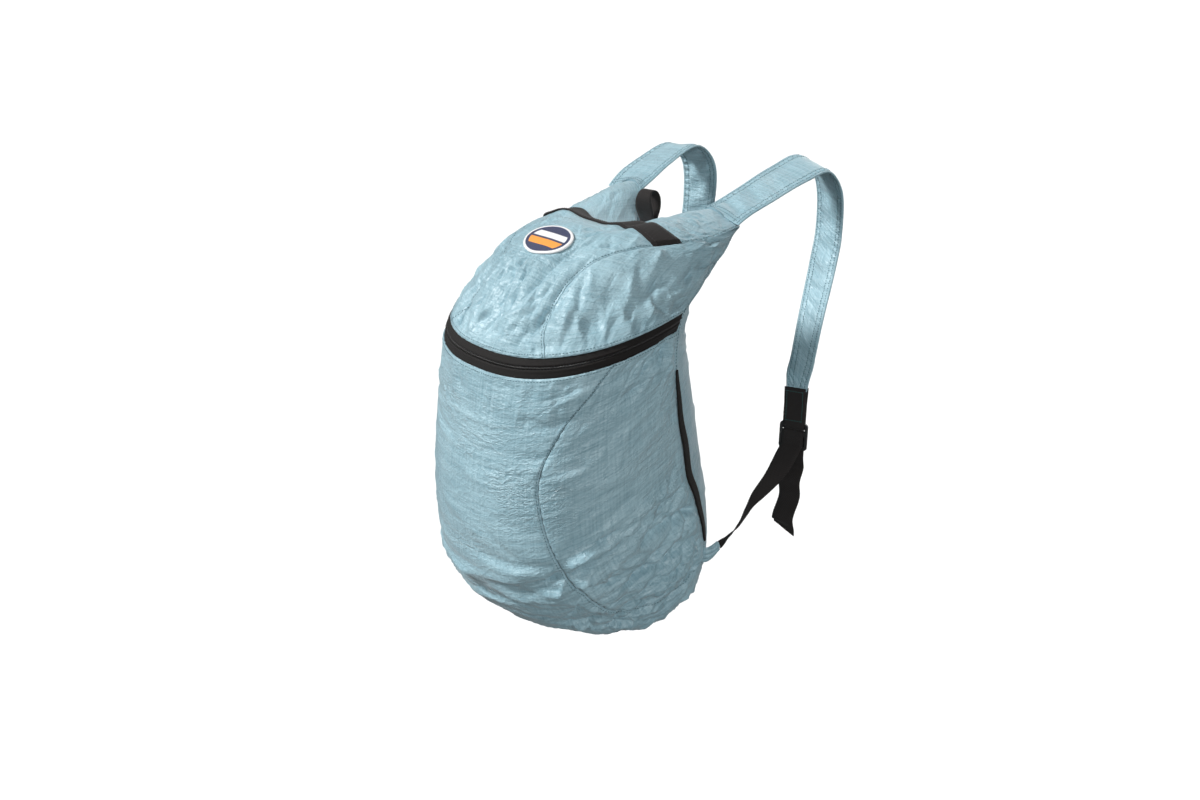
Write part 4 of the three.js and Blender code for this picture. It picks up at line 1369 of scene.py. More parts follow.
    def build(self) -> None:
        """Makes every panel and the thread in its seams."""
        thread = Stitches()
        panels = [self.front(), self.back(), self.lid()]
        for side in (("right", 1), ("left", -1)):
            panels += [self.side_panel(*side), self.lid_side(*side)]
        for panel in panels:
            panel.build(thread)
        thread.piece("bag_stitches", "nylon", BLUE_THREAD_AND_HOLE_SHADE)


@dataclass
class Ribbon:
    """A flat strip round a line of centres, with its own width and across direction at every station."""

    centres: Array
    across: Array
    widths: Array
    thickness: float = WEBBING_THICKNESS
    columns: int = 9
    edge_share: float = 0.55
    edge_from: float = 0.8

    def middle(self) -> Array:
        """The strip's middle: centre plus across times half the width times a share from -1 to 1.

        Returns:
            Grid of points.
        """
        share = np.linspace(-1, 1, self.columns)
        reach = (self.widths / 2)[:, None] * share
        return self.centres[:, None] + self.across[:, None] * reach[..., None]

    def build(self, piece: Piece, middle: Array | None = None) -> TwoArrays:
        """Makes the strip's wall, thinner at its edges.

        Args:
            piece: The piece that takes the mesh.
            middle: Its middle grid, if it was changed.

        Returns:
            The outer grid and its normals.
        """
        middle = self.middle() if middle is None else middle
        normals = grid_normals(middle)
        share = np.abs(np.linspace(-1, 1, self.columns))
        half = self.thickness / 2 * (1 - (1 - self.edge_share) * ease(self.edge_from, 1, share))
        lift = normals * half[None, :, None]
        piece.between(middle + lift, middle - lift, strip_map(edge_distances(middle)))
        return middle + lift, normals


@dataclass
class Zip:
    """The zip round the front: two tapes, the coil between them and a slider at the left end."""

    columns: int = 260
    rows: int = 9
    tape_top: float = 1.25
    coil_pitch: float = 1.5
    coil_length: float = 3.4
    coil_radius: float = 0.62
    coil_sink: float = 0.4
    coil_slant: float = 0.12
    coil_points: int = 2000
    hem_overlap: float = 0.04
    tape_base: float = 0.2
    under_hem: float = 0.35
    hem_part: Pair = (0.12, 0.4)
    roll: float = 0.9
    roll_part: Pair = (0.55, 0.92)
    lip: float = 0.7
    slider_around: float = -97.0
    slider_lift: float = 2.9
    slider_size: tuple[float, float, float] = (6.5, 4.5, 2.0)
    slider_power: float = 0.45
    slider_taper: float = 0.12
    slider_grid: tuple[int, int] = (17, 33)
    pull_length: float = 24.0
    pull_width: float = 7.0
    pull_thickness: float = 1.6
    pull_stand: float = 2.6
    pull_bow: float = 1.2
    pull_stations: int = 24

    def strip(self, name: str, low: LevelLine, high: LevelLine, upper: bool) -> None:
        """A tape between two level lines, which rolls up a little towards the coil.

        Args:
            name: The node that the tape stands for.
            low: The lower level for each angle.
            high: The upper level for each angle.
            upper: True for the tape above the coil.
        """
        reach = FORM.seam_angle(ZIP) - AROUND_INSET
        around = np.linspace(-reach, reach, self.columns)
        part = np.linspace(0, 1, self.rows)[:, None]
        level = mix(low(around), high(around), part)
        around = around + 0 * level
        to_coil = 1 - part if upper else part
        under_hem = (self.tape_top - self.under_hem) * (1 - ease(*self.hem_part, to_coil))
        roll = self.roll * ease(*self.roll_part, to_coil) - self.lip * ease(self.roll_part[1], 1.0, to_coil)
        outer = FORM.cloth(around, level, self.tape_top - under_hem + roll)
        inner = FORM.cloth(around, level, self.tape_base + 0 * level)
        uv = strip_map(edge_distances(outer))
        Piece(f"{name}_weave", "webbing", ZIP_TAPE, name).between(outer, inner, uv)

    def coil(self) -> None:
        """A row of coil turns laid across the slit."""
        reach = FORM.seam_angle(ZIP) - AROUND_INSET
        fine = np.linspace(-reach, reach, self.coil_points)
        path = FORM.cloth(fine, np.full_like(fine, ZIP), self.tape_top)
        length = lengths_along(path)
        around = np.interp(np.arange(self.coil_pitch, length[-1], self.coil_pitch), length, fine)
        level = np.full_like(around, ZIP)
        centres = FORM.cloth(around, level, self.tape_top - self.coil_sink)
        up = FORM.outward(around, level)
        across = unit(FORM.smooth(around, level + SLOPE_STEP) - FORM.smooth(around, level - SLOPE_STEP))
        across = unit(across + self.coil_slant * np.cross(across, up))
        teeth = Stitches()
        teeth.spindles(centres, across, up, self.coil_length, self.coil_radius)
        teeth.piece("zip_coil_turns", "plastic", PLASTIC, "zip_coil")

    def slider(self) -> None:
        """A rounded slider body, the superellipsoid with sides (cos^e, sin^e), and its short pull."""
        around = np.array(math.radians(self.slider_around))
        level = np.array(ZIP)
        normal = FORM.outward(around, level)
        along = unit(FORM.smooth(around + SLOPE_STEP, level) - FORM.smooth(around - SLOPE_STEP, level))
        upwards = np.cross(normal, along)
        centre = FORM.cloth(around, level, WALL + self.slider_lift)
        rows, columns = self.slider_grid
        turn, tilt = np.meshgrid(np.linspace(0, 2 * np.pi, columns), np.linspace(-np.pi / 2, np.pi / 2, rows))

        def rounded(value: Array) -> Array:
            """A squarer circle."""
            return np.sign(value) * np.abs(value) ** self.slider_power

        length, width, height = self.slider_size
        taper = 1 - self.slider_taper * rounded(np.cos(turn))
        local = np.stack([
            rounded(np.cos(tilt)) * rounded(np.cos(turn)) * length,
            rounded(np.cos(tilt)) * rounded(np.sin(turn)) * width * taper,
            rounded(np.sin(tilt)) * height,
        ], -1)
        points = centre + local @ np.stack([along, upwards, normal])
        faces = cells(np.arange(rows * columns).reshape(rows, columns))
        Piece("zip_slider_body", "plastic", PLASTIC, "zip_slider").mesh(points, faces, weld=True)
        part = np.linspace(0, 1, self.pull_stations)[:, None]
        stand = normal * (self.pull_stand + self.pull_bow * np.sin(part * np.pi))
        hang = centre + stand - upwards * self.pull_length * part
        across = np.repeat(along[None], self.pull_stations, 0)
        pull = Ribbon(hang, across, np.full(self.pull_stations, self.pull_width), self.pull_thickness)
        pull.build(Piece("zip_pull", "webbing", WEBBING))

    def build(self) -> None:
        """Makes the tapes, the coil and the slider."""
        edge = ZIP_COIL_HALF + LEVEL_INSET * 2
        under = self.hem_overlap
        self.strip("zip_tape_lower", lambda a: ZIP - zip_half(a) - under, lambda a: ZIP - edge + 0 * a, False)
        self.strip("zip_tape_upper", lambda a: ZIP + edge + 0 * a, lambda a: ZIP + zip_half(a) + under, True)
        self.coil()
        self.slider()


@dataclass
class Trim:
    """The band over the lid, the round badge, the side tapes and the haul loop."""

    band_slack: float = 0.4
    band_bridge: float = 0.25
    band_tuck: float = 2.2
    band_tuck_from: float = 0.94
    band_edge: float = 0.4
    band_edge_from: float = 0.8
    band_grid: tuple[int, int] = (9, 200)
    band_seam_points: int = 400
    band_thread_rows: tuple[int, int] = (1, 7)
    layer_sink: float = 0.5
    badge_rim: float = 0.8
    badge_rim_inner: Pair = (0.87, 0.905)
    badge_rim_outer: Pair = (0.95, 1.02)
    badge_gap: Pair = (0.86, 0.88)
    badge_top: float = 0.8
    badge_sink: float = 0.6
    badge_rings: tuple[int, int] = (20, 10)
    badge_spokes: int = 97
    tape_levels: Pair = (2.4, 5.9)
    tape_sides: Pair = (-1.2, 3.4)
    tape_grid: tuple[int, int] = (140, 7)
    tape_end_width: float = 0.25
    tape_end_power: float = 0.6
    tape_wave: float = 0.7
    tape_waves: float = 23.0
    loop_x: float = -2.0
    loop_seat: float = 2.4
    loop_height: float = 38.0
    loop_bulge: float = 13.5
    loop_width: float = 23.0
    loop_narrowing: float = 0.35
    loop_twist: float = 14.0
    loop_start: float = 0.3
    loop_leg: float = 0.8
    loop_turned_rise: float = 0.5
    loop_stations: int = 120

    def layer(self, piece: Piece, around: Array, level: Array, lift: Array) -> TwoArrays:
        """A strip of tape over the cloth between two heights.

        Args:
            piece: The piece that takes the mesh.
            around: Grid of angles.
            level: Grid of levels.
            lift: Grid of extra heights.

        Returns:
            The outer grid and its normals.
        """
        low = FORM.cloth(around, level, TRIM_SEAT - self.layer_sink + lift)
        high = FORM.cloth(around, level, TRIM_SEAT + WEBBING_THICKNESS + lift)
        piece.between(high, low, strip_map(edge_distances(high))[..., ::-1])
        return high, grid_normals(high)

    def band(self, thread: Stitches) -> None:
        """The webbing that crosses the lid from seam to seam and bridges its dents.

        Args:
            thread: Where its stitches are gathered.
        """
        rows, columns = self.band_grid
        share = np.linspace(-1, 1, columns)
        height = np.linspace(-1, 1, rows)[:, None]
        offset = height * WEBBING_WIDTH / 2 / LEVEL_LENGTH
        seam = LID_SEAM.part(np.linspace(0, 1, self.band_seam_points))
        end = np.interp(BAND_LEVEL - BAND_BOW + offset, seam["level"], seam["around"])
        level = BAND_LEVEL + offset - BAND_BOW * share**2
        around = (np.radians(end) - AROUND_INSET) * share + 0 * level
        lift = self.band_slack - self.band_bridge * np.minimum(FORM.folds(around, level), 0)
        lift = lift - self.band_edge * ease(self.band_edge_from, 1.0, np.abs(height))
        lift = lift - self.band_tuck * ease(self.band_tuck_from, 1.0, np.abs(share))
        piece = Piece("lid_band_webbing", "webbing", WEBBING, "lid_band")
        outer, normals = self.layer(piece, around, level, lift)
        for row in self.band_thread_rows:
            thread.row(outer[row], normals[row])

    def badge(self) -> None:
        """A round badge on the lid with a raised rim, on a polar grid of radius and angle."""
        middle, step = np.array(0.0), np.array(SLOPE_STEP)
        centre = FORM.smooth(middle, middle + BADGE_LEVEL)
        around_scale = np.linalg.norm(FORM.smooth(step, middle + BADGE_LEVEL) - centre) / SLOPE_STEP
        level_scale = np.linalg.norm(FORM.smooth(middle, step + BADGE_LEVEL) - centre) / SLOPE_STEP
        field_rings, rim_rings = self.badge_rings
        inside = np.linspace(0, self.badge_gap[0], field_rings)
        outside = np.linspace(self.badge_gap[1], 1.0, rim_rings)
        radius = np.concatenate([inside, outside])[:, None]
        angle = np.linspace(0, 2 * np.pi, self.badge_spokes)
        around = BADGE_RADIUS * radius * np.cos(angle) / around_scale
        level = BADGE_LEVEL + BADGE_HEIGHT * radius * np.sin(angle) / level_scale
        rim = ease(*self.badge_rim_inner, radius) * (1 - ease(*self.badge_rim_outer, radius))
        high = FORM.cloth(around, level, TRIM_SEAT + self.badge_top + self.badge_rim * rim + 0 * around)
        low = FORM.cloth(around, level, TRIM_SEAT - self.badge_sink)
        uv = np.stack([radius * np.cos(angle), radius * np.sin(angle)], -1)
        number = np.arange(around.size).reshape(around.shape)
        under = number + number.size
        rim_faces = quads(number[-1, :-1], under[-1, :-1], under[-1, 1:], number[-1, 1:])
        faces = np.vstack([cells(number)[:, ::-1], cells(under), rim_faces])
        points = np.concatenate([high.reshape(-1, 3), low.reshape(-1, 3)])
        both = np.concatenate([uv.reshape(-1, 2)] * 2)
        Piece("badge", "patch", BADGE, "patch").mesh(points, faces, both, weld=True)

    def side_tape(self, name: str, hand: int) -> None:
        """A narrow tape that shows along a side seam, wavers and narrows to its ends.

        Args:
            name: The side's name.
            hand: 1 on the right and -1 on the left.
        """
        rows, columns = self.tape_grid
        level = np.linspace(*self.tape_levels, rows)[:, None]
        part = np.linspace(0, 1, rows)[:, None]
        narrow = mix(self.tape_end_width, 1.0, np.sin(part * np.pi) ** self.tape_end_power)
        sides = np.radians(mix(*self.tape_sides, np.linspace(0, 1, columns)))
        middle = np.radians(sum(self.tape_sides) / 2)
        wave = np.radians(self.tape_wave) * np.sin(part * self.tape_waves) * np.sin(part * np.pi)
        around = FORM.seam_angle(level) + middle + (sides - middle) * narrow + wave
        level = level + 0 * around
        if hand < 0:
            around, level = -around[:, ::-1], level[:, ::-1]
        piece = Piece(f"side_tape_{name}_webbing", "webbing", ZIP_TAPE, f"side_tape_{name}")
        self.layer(piece, around, level, 0 * level)

    def haul_loop(self) -> None:
        """A drop-shaped loop: bulge sin t sin^2(t/2) sideways and rise (1 - cos t)/2, turning as it rises."""
        half = self.loop_width / 2
        base, left, right = FORM.top_edge(self.loop_x + np.array([0.0, -half, half]))
        part = np.linspace(0, 1, self.loop_stations)
        turn = mix(self.loop_start, 2 * np.pi - self.loop_start, part)
        rise = (1 - np.cos(turn)) / 2
        leg = np.where(part < 0.5, self.loop_leg, -self.loop_leg) * (1 - ease(self.loop_turned_rise, 1, rise))
        loop = self.loop_bulge * np.sin(turn) * np.sin(turn / 2) ** 2 + leg
        turned_part = ease(0, self.loop_turned_rise, rise)
        angle = np.radians(self.loop_twist * turned_part)
        flat = np.stack([np.cos(angle), np.sin(angle), 0 * angle], -1)
        across = unit(mix(unit(right - left), flat, turned_part[:, None]))
        sideways = np.stack([-np.sin(angle), np.cos(angle), 0 * angle], -1)
        centres = base + sideways * loop[:, None]
        centres[:, 1] += self.loop_seat
        centres[:, 2] += self.loop_seat + self.loop_height * rise
        widths = self.loop_width * (1 - self.loop_narrowing * rise**3)
        Ribbon(centres, across, widths).build(Piece("haul_loop_webbing", "webbing", WEBBING, "haul_loop"))

    def build(self) -> None:
        """Makes all the trim."""
        thread = Stitches()
        self.band(thread)
        thread.piece("band_stitches", "webbing", BLACK_THREAD)
        self.badge()
        self.side_tape("right", 1)
        self.side_tape("left", -1)
        self.haul_loop()


@dataclass
class StrapEnd:
    """The frame of a strap's end: down the tab, across it, and out towards the bag's front."""

    name: str
    top: tuple[float, float, float]
    down: tuple[float, float, float]
    twist: float = 20.0

    def __post_init__(self) -> None:
        """Works out the three directions."""
        self.hand = 1 if self.name == "right" else -1
        self.run = unit(np.array(self.down))
        level = np.array([1.0, 0.0, 0.0])
        level = unit(level - self.run * level.dot(self.run))
        self.side = turned(level, self.run, -self.hand * self.twist)
        self.front = np.cross(self.run, self.side)

    def at(self, run: Any, out: Any) -> Array:
        """The point at a run down the tab and a distance out from its middle."""
        run, out = np.broadcast_arrays(np.asarray(run, float), np.asarray(out, float))
        return np.array(self.top) + run[..., None] * self.run + out[..., None] * self.front


# Strap centres from the top edge to the end in the tab, with width and twist
STRAP_COLUMNS = "x y z width twist"
STRAPS = {
    "right": Table(STRAP_COLUMNS, [
        (75, 105.3, 447, 58, 0), (75, 150, 460, 54.5, 4), (76, 202, 476, 53, 8), (76, 245, 482, 52, 12),
        (78, 267, 456, 50, 12), (81, 268, 404, 46, 10), (87, 254, 368, 42, 6), (100, 224, 314, 36, 2),
        (115, 197, 276, 31, -4), (125, 180.5, 261, 28, -14), (127.2, 176.1, 247, 24, -20),
    ]),
    "left": Table(STRAP_COLUMNS, [
        (-75, 105.3, 455, 58, 0), (-76, 145, 474, 54.5, -3), (-77, 190, 486, 53, -6), (-78, 216, 462, 51, -6),
        (-79, 219, 415, 48, -4), (-84, 212, 365, 43, -2), (-94, 198, 310, 37, 2), (-106, 180, 252, 32, 6),
        (-117, 167.5, 220, 28, 14), (-119.2, 164.1, 206, 24, 20),
    ]),
}
STRAP_LAP = 4.0
TAB_LEG, TAB_FLARE, TAB_SLACK = 42.0, 1.6, 1.1
BAR, UPPER_SLOT, LOWER_SLOT, BUCKLE_THICKNESS = 4.0, 7.0, 12.0, 3.0
MIDDLE_BAR_RUN = TAB_LEG + BAR + UPPER_SLOT
LOWER_BAR_RUN = MIDDLE_BAR_RUN + BAR + LOWER_SLOT
WRAP_RADIUS = BUCKLE_THICKNESS / 2 + GAP + WEBBING_THICKNESS / 2
WEBBING_TWISTS = Table("along twist", [(0, 200), (0.12, 140), (0.26, 100), (0.42, 82), (0.65, 30), (1, 0)])


@dataclass
class ShoulderStrap:
    """A cloth strap with stitched hems, over the shoulder from the top edge to its tab."""

    end: StrapEnd
    stations: int = 260
    columns: int = 33
    row_insets: Pair = (3.4, 8.6)
    root_rows: Pair = (4.0, 8.5)
    root_part: float = 0.05
    hem_inset: float = 6.0
    hem_width: float = 3.2
    pucker: float = 0.85
    pucker_pitch: float = 1.25
    pucker_sway: float = 2.0
    pucker_sway_pitch: float = 23.0
    wrinkle: float = 1.5
    wrinkle_pitch: float = 3.7
    wrinkle_sway: float = 2.4
    wrinkle_sway_pitch: float = 29.0
    wrinkle_slant: float = 9.0
    wrinkle_swell_pitch: float = 41.0
    wrinkle_insets: Pair = (8.0, 13.0)
    groove_depth: float = 0.45
    groove_width: float = 0.9
    edge_share: float = 0.45
    edge_width: float = 2.2
    end_fade: float = 12.0
    phases: Pair = (1.3, 4.1)

    def line(self, part: Array) -> TwoArrays:
        """Points and tangents of the curve through the table's centres, spaced by the root of their distance.

        Args:
            part: Parts along the table, from 0 to 1.

        Returns:
            Points and unit tangents.
        """
        centres = STRAPS[self.end.name].rows[:, :3]
        a, b, c, d, t = neighbours(centres, part * (len(centres) - 1))
        spans = (b - a, c - b, d - c)
        first, second, third = (np.linalg.norm(span, axis=1)[:, None] ** 0.5 for span in spans)
        slope_in = ((b - a) / first - (c - a) / (first + second) + (c - b) / second) * second
        slope_out = ((c - b) / second - (d - b) / (second + third) + (d - c) / third) * second
        points, slopes = cubic(b, c, (slope_in, slope_out), t)
        return points, unit(slopes)

    def grid(self) -> TwoArrays:
        """The strap's middle: the line plus a share of the width across it, laid on the top edge at its root.

        Returns:
            Grid of points, and distances to the nearer edge.
        """
        part = np.linspace(0, 1, self.stations)
        points, tangents = self.line(part)
        row = STRAPS[self.end.name].part(part)
        level = np.array([1.0, 0.0, 0.0]) - tangents * tangents[:, :1]
        across = turned(unit(level), tangents, row["twist"])
        share = np.linspace(-0.5, 0.5, self.columns)
        middle = points[:, None] + across[:, None] * (row["width"][:, None] * share)[..., None]
        root = FORM.top_edge(middle[..., 0])
        root[..., 1] -= STRAP_LAP
        root[..., 2] += STRAP_THICKNESS / 2 + WALL + GAP
        hold = (1 - ease(0.0, self.root_part, part))[:, None, None]
        middle = mix(middle, np.concatenate([middle[..., :1], root[..., 1:]], -1), hold)
        inset = row["width"][:, None] * (0.5 - np.abs(share))
        return middle, inset

    def shift(self, inset: Array, away: dict[Edge, Array]) -> Array:
        """Puckers between the rows of thread and wrinkles down the middle, as sines that sway and fade.

        Args:
            inset: Distances to the nearer edge.
            away: Distances from each edge.

        Returns:
            How far the middle moves along its normals.
        """
        along = away[Edge.BOTTOM]
        phase = self.phases[0 if self.end.hand > 0 else 1]
        hem = np.exp(-(((inset - self.hem_inset) / self.hem_width) ** 2))
        sway = self.pucker_sway * np.sin(along / self.pucker_sway_pitch + phase)
        pucker = self.pucker * np.sin(along / self.pucker_pitch + sway) * hem
        sway = self.wrinkle_sway * np.sin(along / self.wrinkle_sway_pitch + phase)
        sway = sway + away[Edge.LEFT] / self.wrinkle_slant
        wrinkle = self.wrinkle * np.sin(along / self.wrinkle_pitch + sway) * ease(*self.wrinkle_insets, inset)
        wrinkle = wrinkle * (0.5 + 0.5 * np.sin(along / self.wrinkle_swell_pitch + phase))
        fade = ease(0.0, self.end_fade, along) * ease(0.0, self.end_fade, away[Edge.TOP])
        return (pucker + wrinkle) * fade

    def sew(self, faces: TwoArrays, normals: Array, away: dict[Edge, Array], thread: Stitches) -> None:
        """Lays the rows of thread along both edges, on both faces, and across the root.

        Args:
            faces: Grids of the outer and the inner face.
            normals: Normals of the outer face.
            away: Distances from each edge.
            thread: Where the stitches are gathered.
        """
        for face, up in zip(faces, (normals, -normals)):
            for side in (Edge.LEFT, Edge.RIGHT):
                for at in self.row_insets:
                    path, path_up = inset_line(face, up, away[side], side, at)
                    thread.row(path[2:-2], path_up[2:-2], STRAP_STITCH)
        for at in self.root_rows:
            path, path_up = inset_line(faces[0], normals, away[Edge.BOTTOM], Edge.BOTTOM, at)
            thread.row(path[1:-1], path_up[1:-1], STRAP_ROOT_STITCH)

    def build(self, thread: Stitches) -> None:
        """Makes the strap: a wall with thin edges, grooved under its rows of thread.

        Args:
            thread: Where the stitches are gathered.
        """
        middle, inset = self.grid()
        normals = grid_normals(middle)
        away = edge_distances(middle)
        groove = sum(np.exp(-(((inset - at) / self.groove_width) ** 2)) for at in self.row_insets)
        half = STRAP_THICKNESS / 2 * mix(self.edge_share, 1.0, ease(0.0, self.edge_width, inset))
        half = half - self.groove_depth * groove
        shift = self.shift(inset, away)
        outer = middle + normals * (shift + half)[..., None]
        inner = middle + normals * (shift - half)[..., None]
        name = f"strap_{self.end.name}"
        piece = Piece(f"{name}_cloth", "nylon", NYLON, name).between(outer, inner, strip_map(away))
        grid_area(middle)
        self.sew((outer, inner), normals, away, thread)


@dataclass
class StrapHardware:
    """The folded tab, the ladder buckle, the cloth anchor and the adjusting webbing of one strap."""

    end: StrapEnd
    leg_stations: int = 30
    wrap_stations: int = 17
    tab_thread_margin: int = 2
    buckle_round: float = 0.55
    buckle_segments: int = 2
    buckle_profile: float = 0.6
    buckle_flat: float = 3.0
    buckle_sharp: float = 50.0
    anchor_length: float = 14.0
    anchor_stand: float = 6.3
    anchor_sink: float = 2.5
    anchor_widths: tuple[float, float, float] = (21.0, 18.0, 11.0)
    anchor_thickness: float = 4.6
    anchor_edge: float = 0.4
    anchor_gather: float = 0.9
    anchor_gathers: float = 9.0
    anchor_drift: float = 1.5
    anchor_grid: tuple[int, int] = (36, 25)
    run_stations: int = 110
    run_sag: float = 9.0
    run_wobble: float = 3.0
    run_start_width: float = 8.0
    run_wide_part: Pair = (0.25, 1.0)
    tail_stations: int = 90
    tail_start: float = 3.0
    tail_length: float = 112.0
    tail_ripple: float = 4.6
    tail_waves: float = 2.8
    tail_swell: Pair = (0.2, 0.4)
    tail_lean: float = 21.0
    tail_cut: float = 14.0
    tail_cut_from: float = 0.8

    def tab(self, green: Stitches) -> None:
        """The tab's two legs and the half turn round the buckle's top bar.

        Args:
            green: Where the tab's own stitches are gathered.
        """
        run = np.linspace(0, TAB_LEG, self.leg_stations)
        out = WRAP_RADIUS + TAB_FLARE * (1 - ease(0, TAB_LEG / 2, run))
        angle = np.linspace(0, np.pi, self.wrap_stations)
        turn_run = TAB_LEG + BAR / 2 + (WRAP_RADIUS + TAB_SLACK) * np.sin(angle)
        bar = self.end.at(turn_run, WRAP_RADIUS * np.cos(angle))
        centres = np.vstack([self.end.at(run, out), bar, self.end.at(run[::-1], -out[::-1])])
        across = np.repeat(self.end.side[None], len(centres), 0)
        name = f"strap_end_tab_{self.end.name}"
        piece = Piece(f"{name}_webbing", "webbing", WEBBING, name)
        outer, normals = Ribbon(centres, across, np.full(len(centres), WEBBING_WIDTH)).build(piece)
        margin, second = self.tab_thread_margin, self.leg_stations + self.wrap_stations
        legs = [slice(first + margin, first + self.leg_stations - margin) for first in (0, second)]
        for rows, sign in ((rows, sign) for sign in (-1, 1) for rows in legs):
            up = normals[rows] * sign
            face = outer[rows] + (up - normals[rows]) * WEBBING_THICKNESS / 2
            for column in (1, -2):
                green.row(face[:, column], up[:, column], TAB_STITCH)
            for row in (1, -2):
                green.row(face[row, 1:-1], up[row, 1:-1], TAB_STITCH)

    def buckle(self) -> None:
        """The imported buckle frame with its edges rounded."""
        name = f"buckle_{self.end.name}"
        form = bmesh.new()
        form.from_mesh(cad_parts[name].data)
        bmesh.ops.remove_doubles(form, verts=form.verts, dist=WELD)
        flat, sharp = math.radians(self.buckle_flat), math.radians(self.buckle_sharp)
        bmesh.ops.dissolve_limit(form, angle_limit=flat, verts=form.verts, edges=form.edges)
        inner = [edge for edge in form.edges if edge.is_manifold]
        bmesh.ops.bevel(
            form,
            geom=[edge for edge in inner if edge.calc_face_angle(0.0) > sharp],
            offset=self.buckle_round * MM,
            segments=self.buckle_segments,
            profile=self.buckle_profile,
            affect="EDGES",
        )
        bmesh.ops.triangulate(form, faces=form.faces)
        mesh = bpy.data.meshes.new(f"{name}_frame")
        form.to_mesh(mesh)
        form.free()
        Piece(f"{name}_frame", "plastic", PLASTIC, name).fasten(mesh)

    def anchor(self) -> TwoArrays:
        """The gathered cloth tab that grows from the bottom corner and bends towards the buckle.

        Returns:
            Its tip and the direction to the buckle.
        """
        hand = self.end.hand
        around = hand * FORM.seam_angle(np.array(ANCHOR_LEVEL))
        level = np.array(ANCHOR_LEVEL)
        normal = FORM.outward(around, level)
        root = FORM.cloth(around, level, WALL + GAP * 2)
        above = np.array(ANCHOR_LEVEL + SLOPE_STEP)
        seam_up = unit(FORM.smooth(hand * FORM.seam_angle(above), above) - FORM.smooth(around, level))
        towards = unit(self.end.at(LOWER_BAR_RUN, WRAP_RADIUS) - root)
        stations, columns = self.anchor_grid
        part = np.linspace(0, 1, stations)
        stand = self.anchor_stand * np.sin(part * np.pi / 2)
        reach = self.anchor_length * (1 - np.cos(part * np.pi / 2))
        centres = root + normal * stand[:, None] + towards * reach[:, None]
        tip = centres[-1]
        centres = np.vstack([centres[0] - normal * self.anchor_sink, centres])
        sunk, base, end = self.anchor_widths
        widths = np.concatenate([[sunk], mix(base, end, part)])
        across = np.repeat(seam_up[None], len(centres), 0)
        ribbon = Ribbon(centres, across, widths, self.anchor_thickness, columns, self.anchor_edge)
        middle = ribbon.middle()
        share = np.linspace(-1, 1, columns)
        drift = self.anchor_drift * np.linspace(0, 1, len(centres))[:, None]
        gather = self.anchor_gather * np.sin(share * self.anchor_gathers + drift)
        middle = middle + grid_normals(middle) * gather[..., None]
        name = f"anchor_tab_{self.end.name}"
        ribbon.build(Piece(f"{name}_cloth", "nylon", NYLON, name), middle)
        return tip, towards

    def run(self, start: Array, arrive: Array) -> tuple[Array, Array, Array]:
        """The run to the buckle: a line that sags and wobbles by sines and turns by the table of twists.

        Args:
            start: Its first point, at the anchor.
            arrive: Its last point, at the buckle.

        Returns:
            Centres, across directions and widths.
        """
        side = self.end.side
        part = np.linspace(0, 1, self.run_stations)
        rows = WEBBING_TWISTS.rows
        index = np.clip(np.searchsorted(rows[:, 0], part) - 1, 0, len(rows) - 2)
        way = (part - rows[index, 0]) / (rows[index + 1, 0] - rows[index, 0])
        twist = mix(rows[index, 1], rows[index + 1, 1], ease(0, 1, way))
        centres = mix(start, arrive, part[:, None])
        centres[:, 2] -= self.run_sag * np.sin(part * np.pi)
        centres += side * (self.run_wobble * np.sin(part * 3 * np.pi) * np.sin(part * np.pi))[:, None]
        across = turned(np.repeat(side[None], len(part), 0), unit(arrive - start), self.end.hand * twist)
        return centres, across, mix(self.run_start_width, WEBBING_WIDTH, ease(*self.run_wide_part, part))

    def tail(self, part: Array) -> Array:
        """The tail's centres: straight down the buckle, then rippling as a sine and leaning out.

        Args:
            part: Parts along it.

        Returns:
            Points in millimetres.
        """
        wave = np.sin(part * self.tail_waves * 2 * np.pi) - 1
        ripple = self.tail_ripple * ease(*self.tail_swell, part) * wave
        lean = self.tail_lean * ease(self.tail_swell[0], 1, part)
        down = MIDDLE_BAR_RUN + self.tail_start + self.tail_length * part
        return self.end.at(down, ripple + lean - WRAP_RADIUS)

    def webbing(self, tip: Array, towards: Array) -> None:
        """The twisted run from the anchor, the turn over the middle bar, and the tail cut at a slant.

        Args:
            tip: The anchor tab's tip.
            towards: The direction to the buckle.
        """
        end = self.end
        arrive = end.at(LOWER_BAR_RUN - BAR, WRAP_RADIUS + GAP)
        run, run_across, run_width = self.run(tip + towards * GAP * 2, arrive)
        angle = np.linspace(0, np.pi, self.wrap_stations)
        wrap = end.at(MIDDLE_BAR_RUN - BAR / 2 - WRAP_RADIUS * np.sin(angle), WRAP_RADIUS * np.cos(angle))
        part = np.linspace(0, 1, self.tail_stations)
        straight = len(wrap) + len(part)
        across = np.vstack([run_across, np.repeat(end.side[None], straight, 0)])
        widths = np.concatenate([run_width, np.full(straight, WEBBING_WIDTH)])
        ribbon = Ribbon(np.vstack([run, wrap, self.tail(part)]), across, widths)
        middle = ribbon.middle()
        share = np.linspace(0, 1, ribbon.columns)[:: -end.hand]
        cut = self.tail_cut * share * ease(self.tail_cut_from, 1.0, part)[:, None]
        middle[-len(part):] -= end.run * cut[..., None]
        name = f"webbing_{end.name}"
        piece = Piece(f"{name}_weave", "webbing", WEBBING, name)
        ribbon.build(piece, middle)
        grid_area(middle)

    def build(self, green: Stitches) -> None:
        """Makes the tab, buckle, anchor and webbing.

        Args:
            green: Where the tab's own stitches are gathered.
        """
        self.tab(green)
        self.buckle()
        self.webbing(*self.anchor())


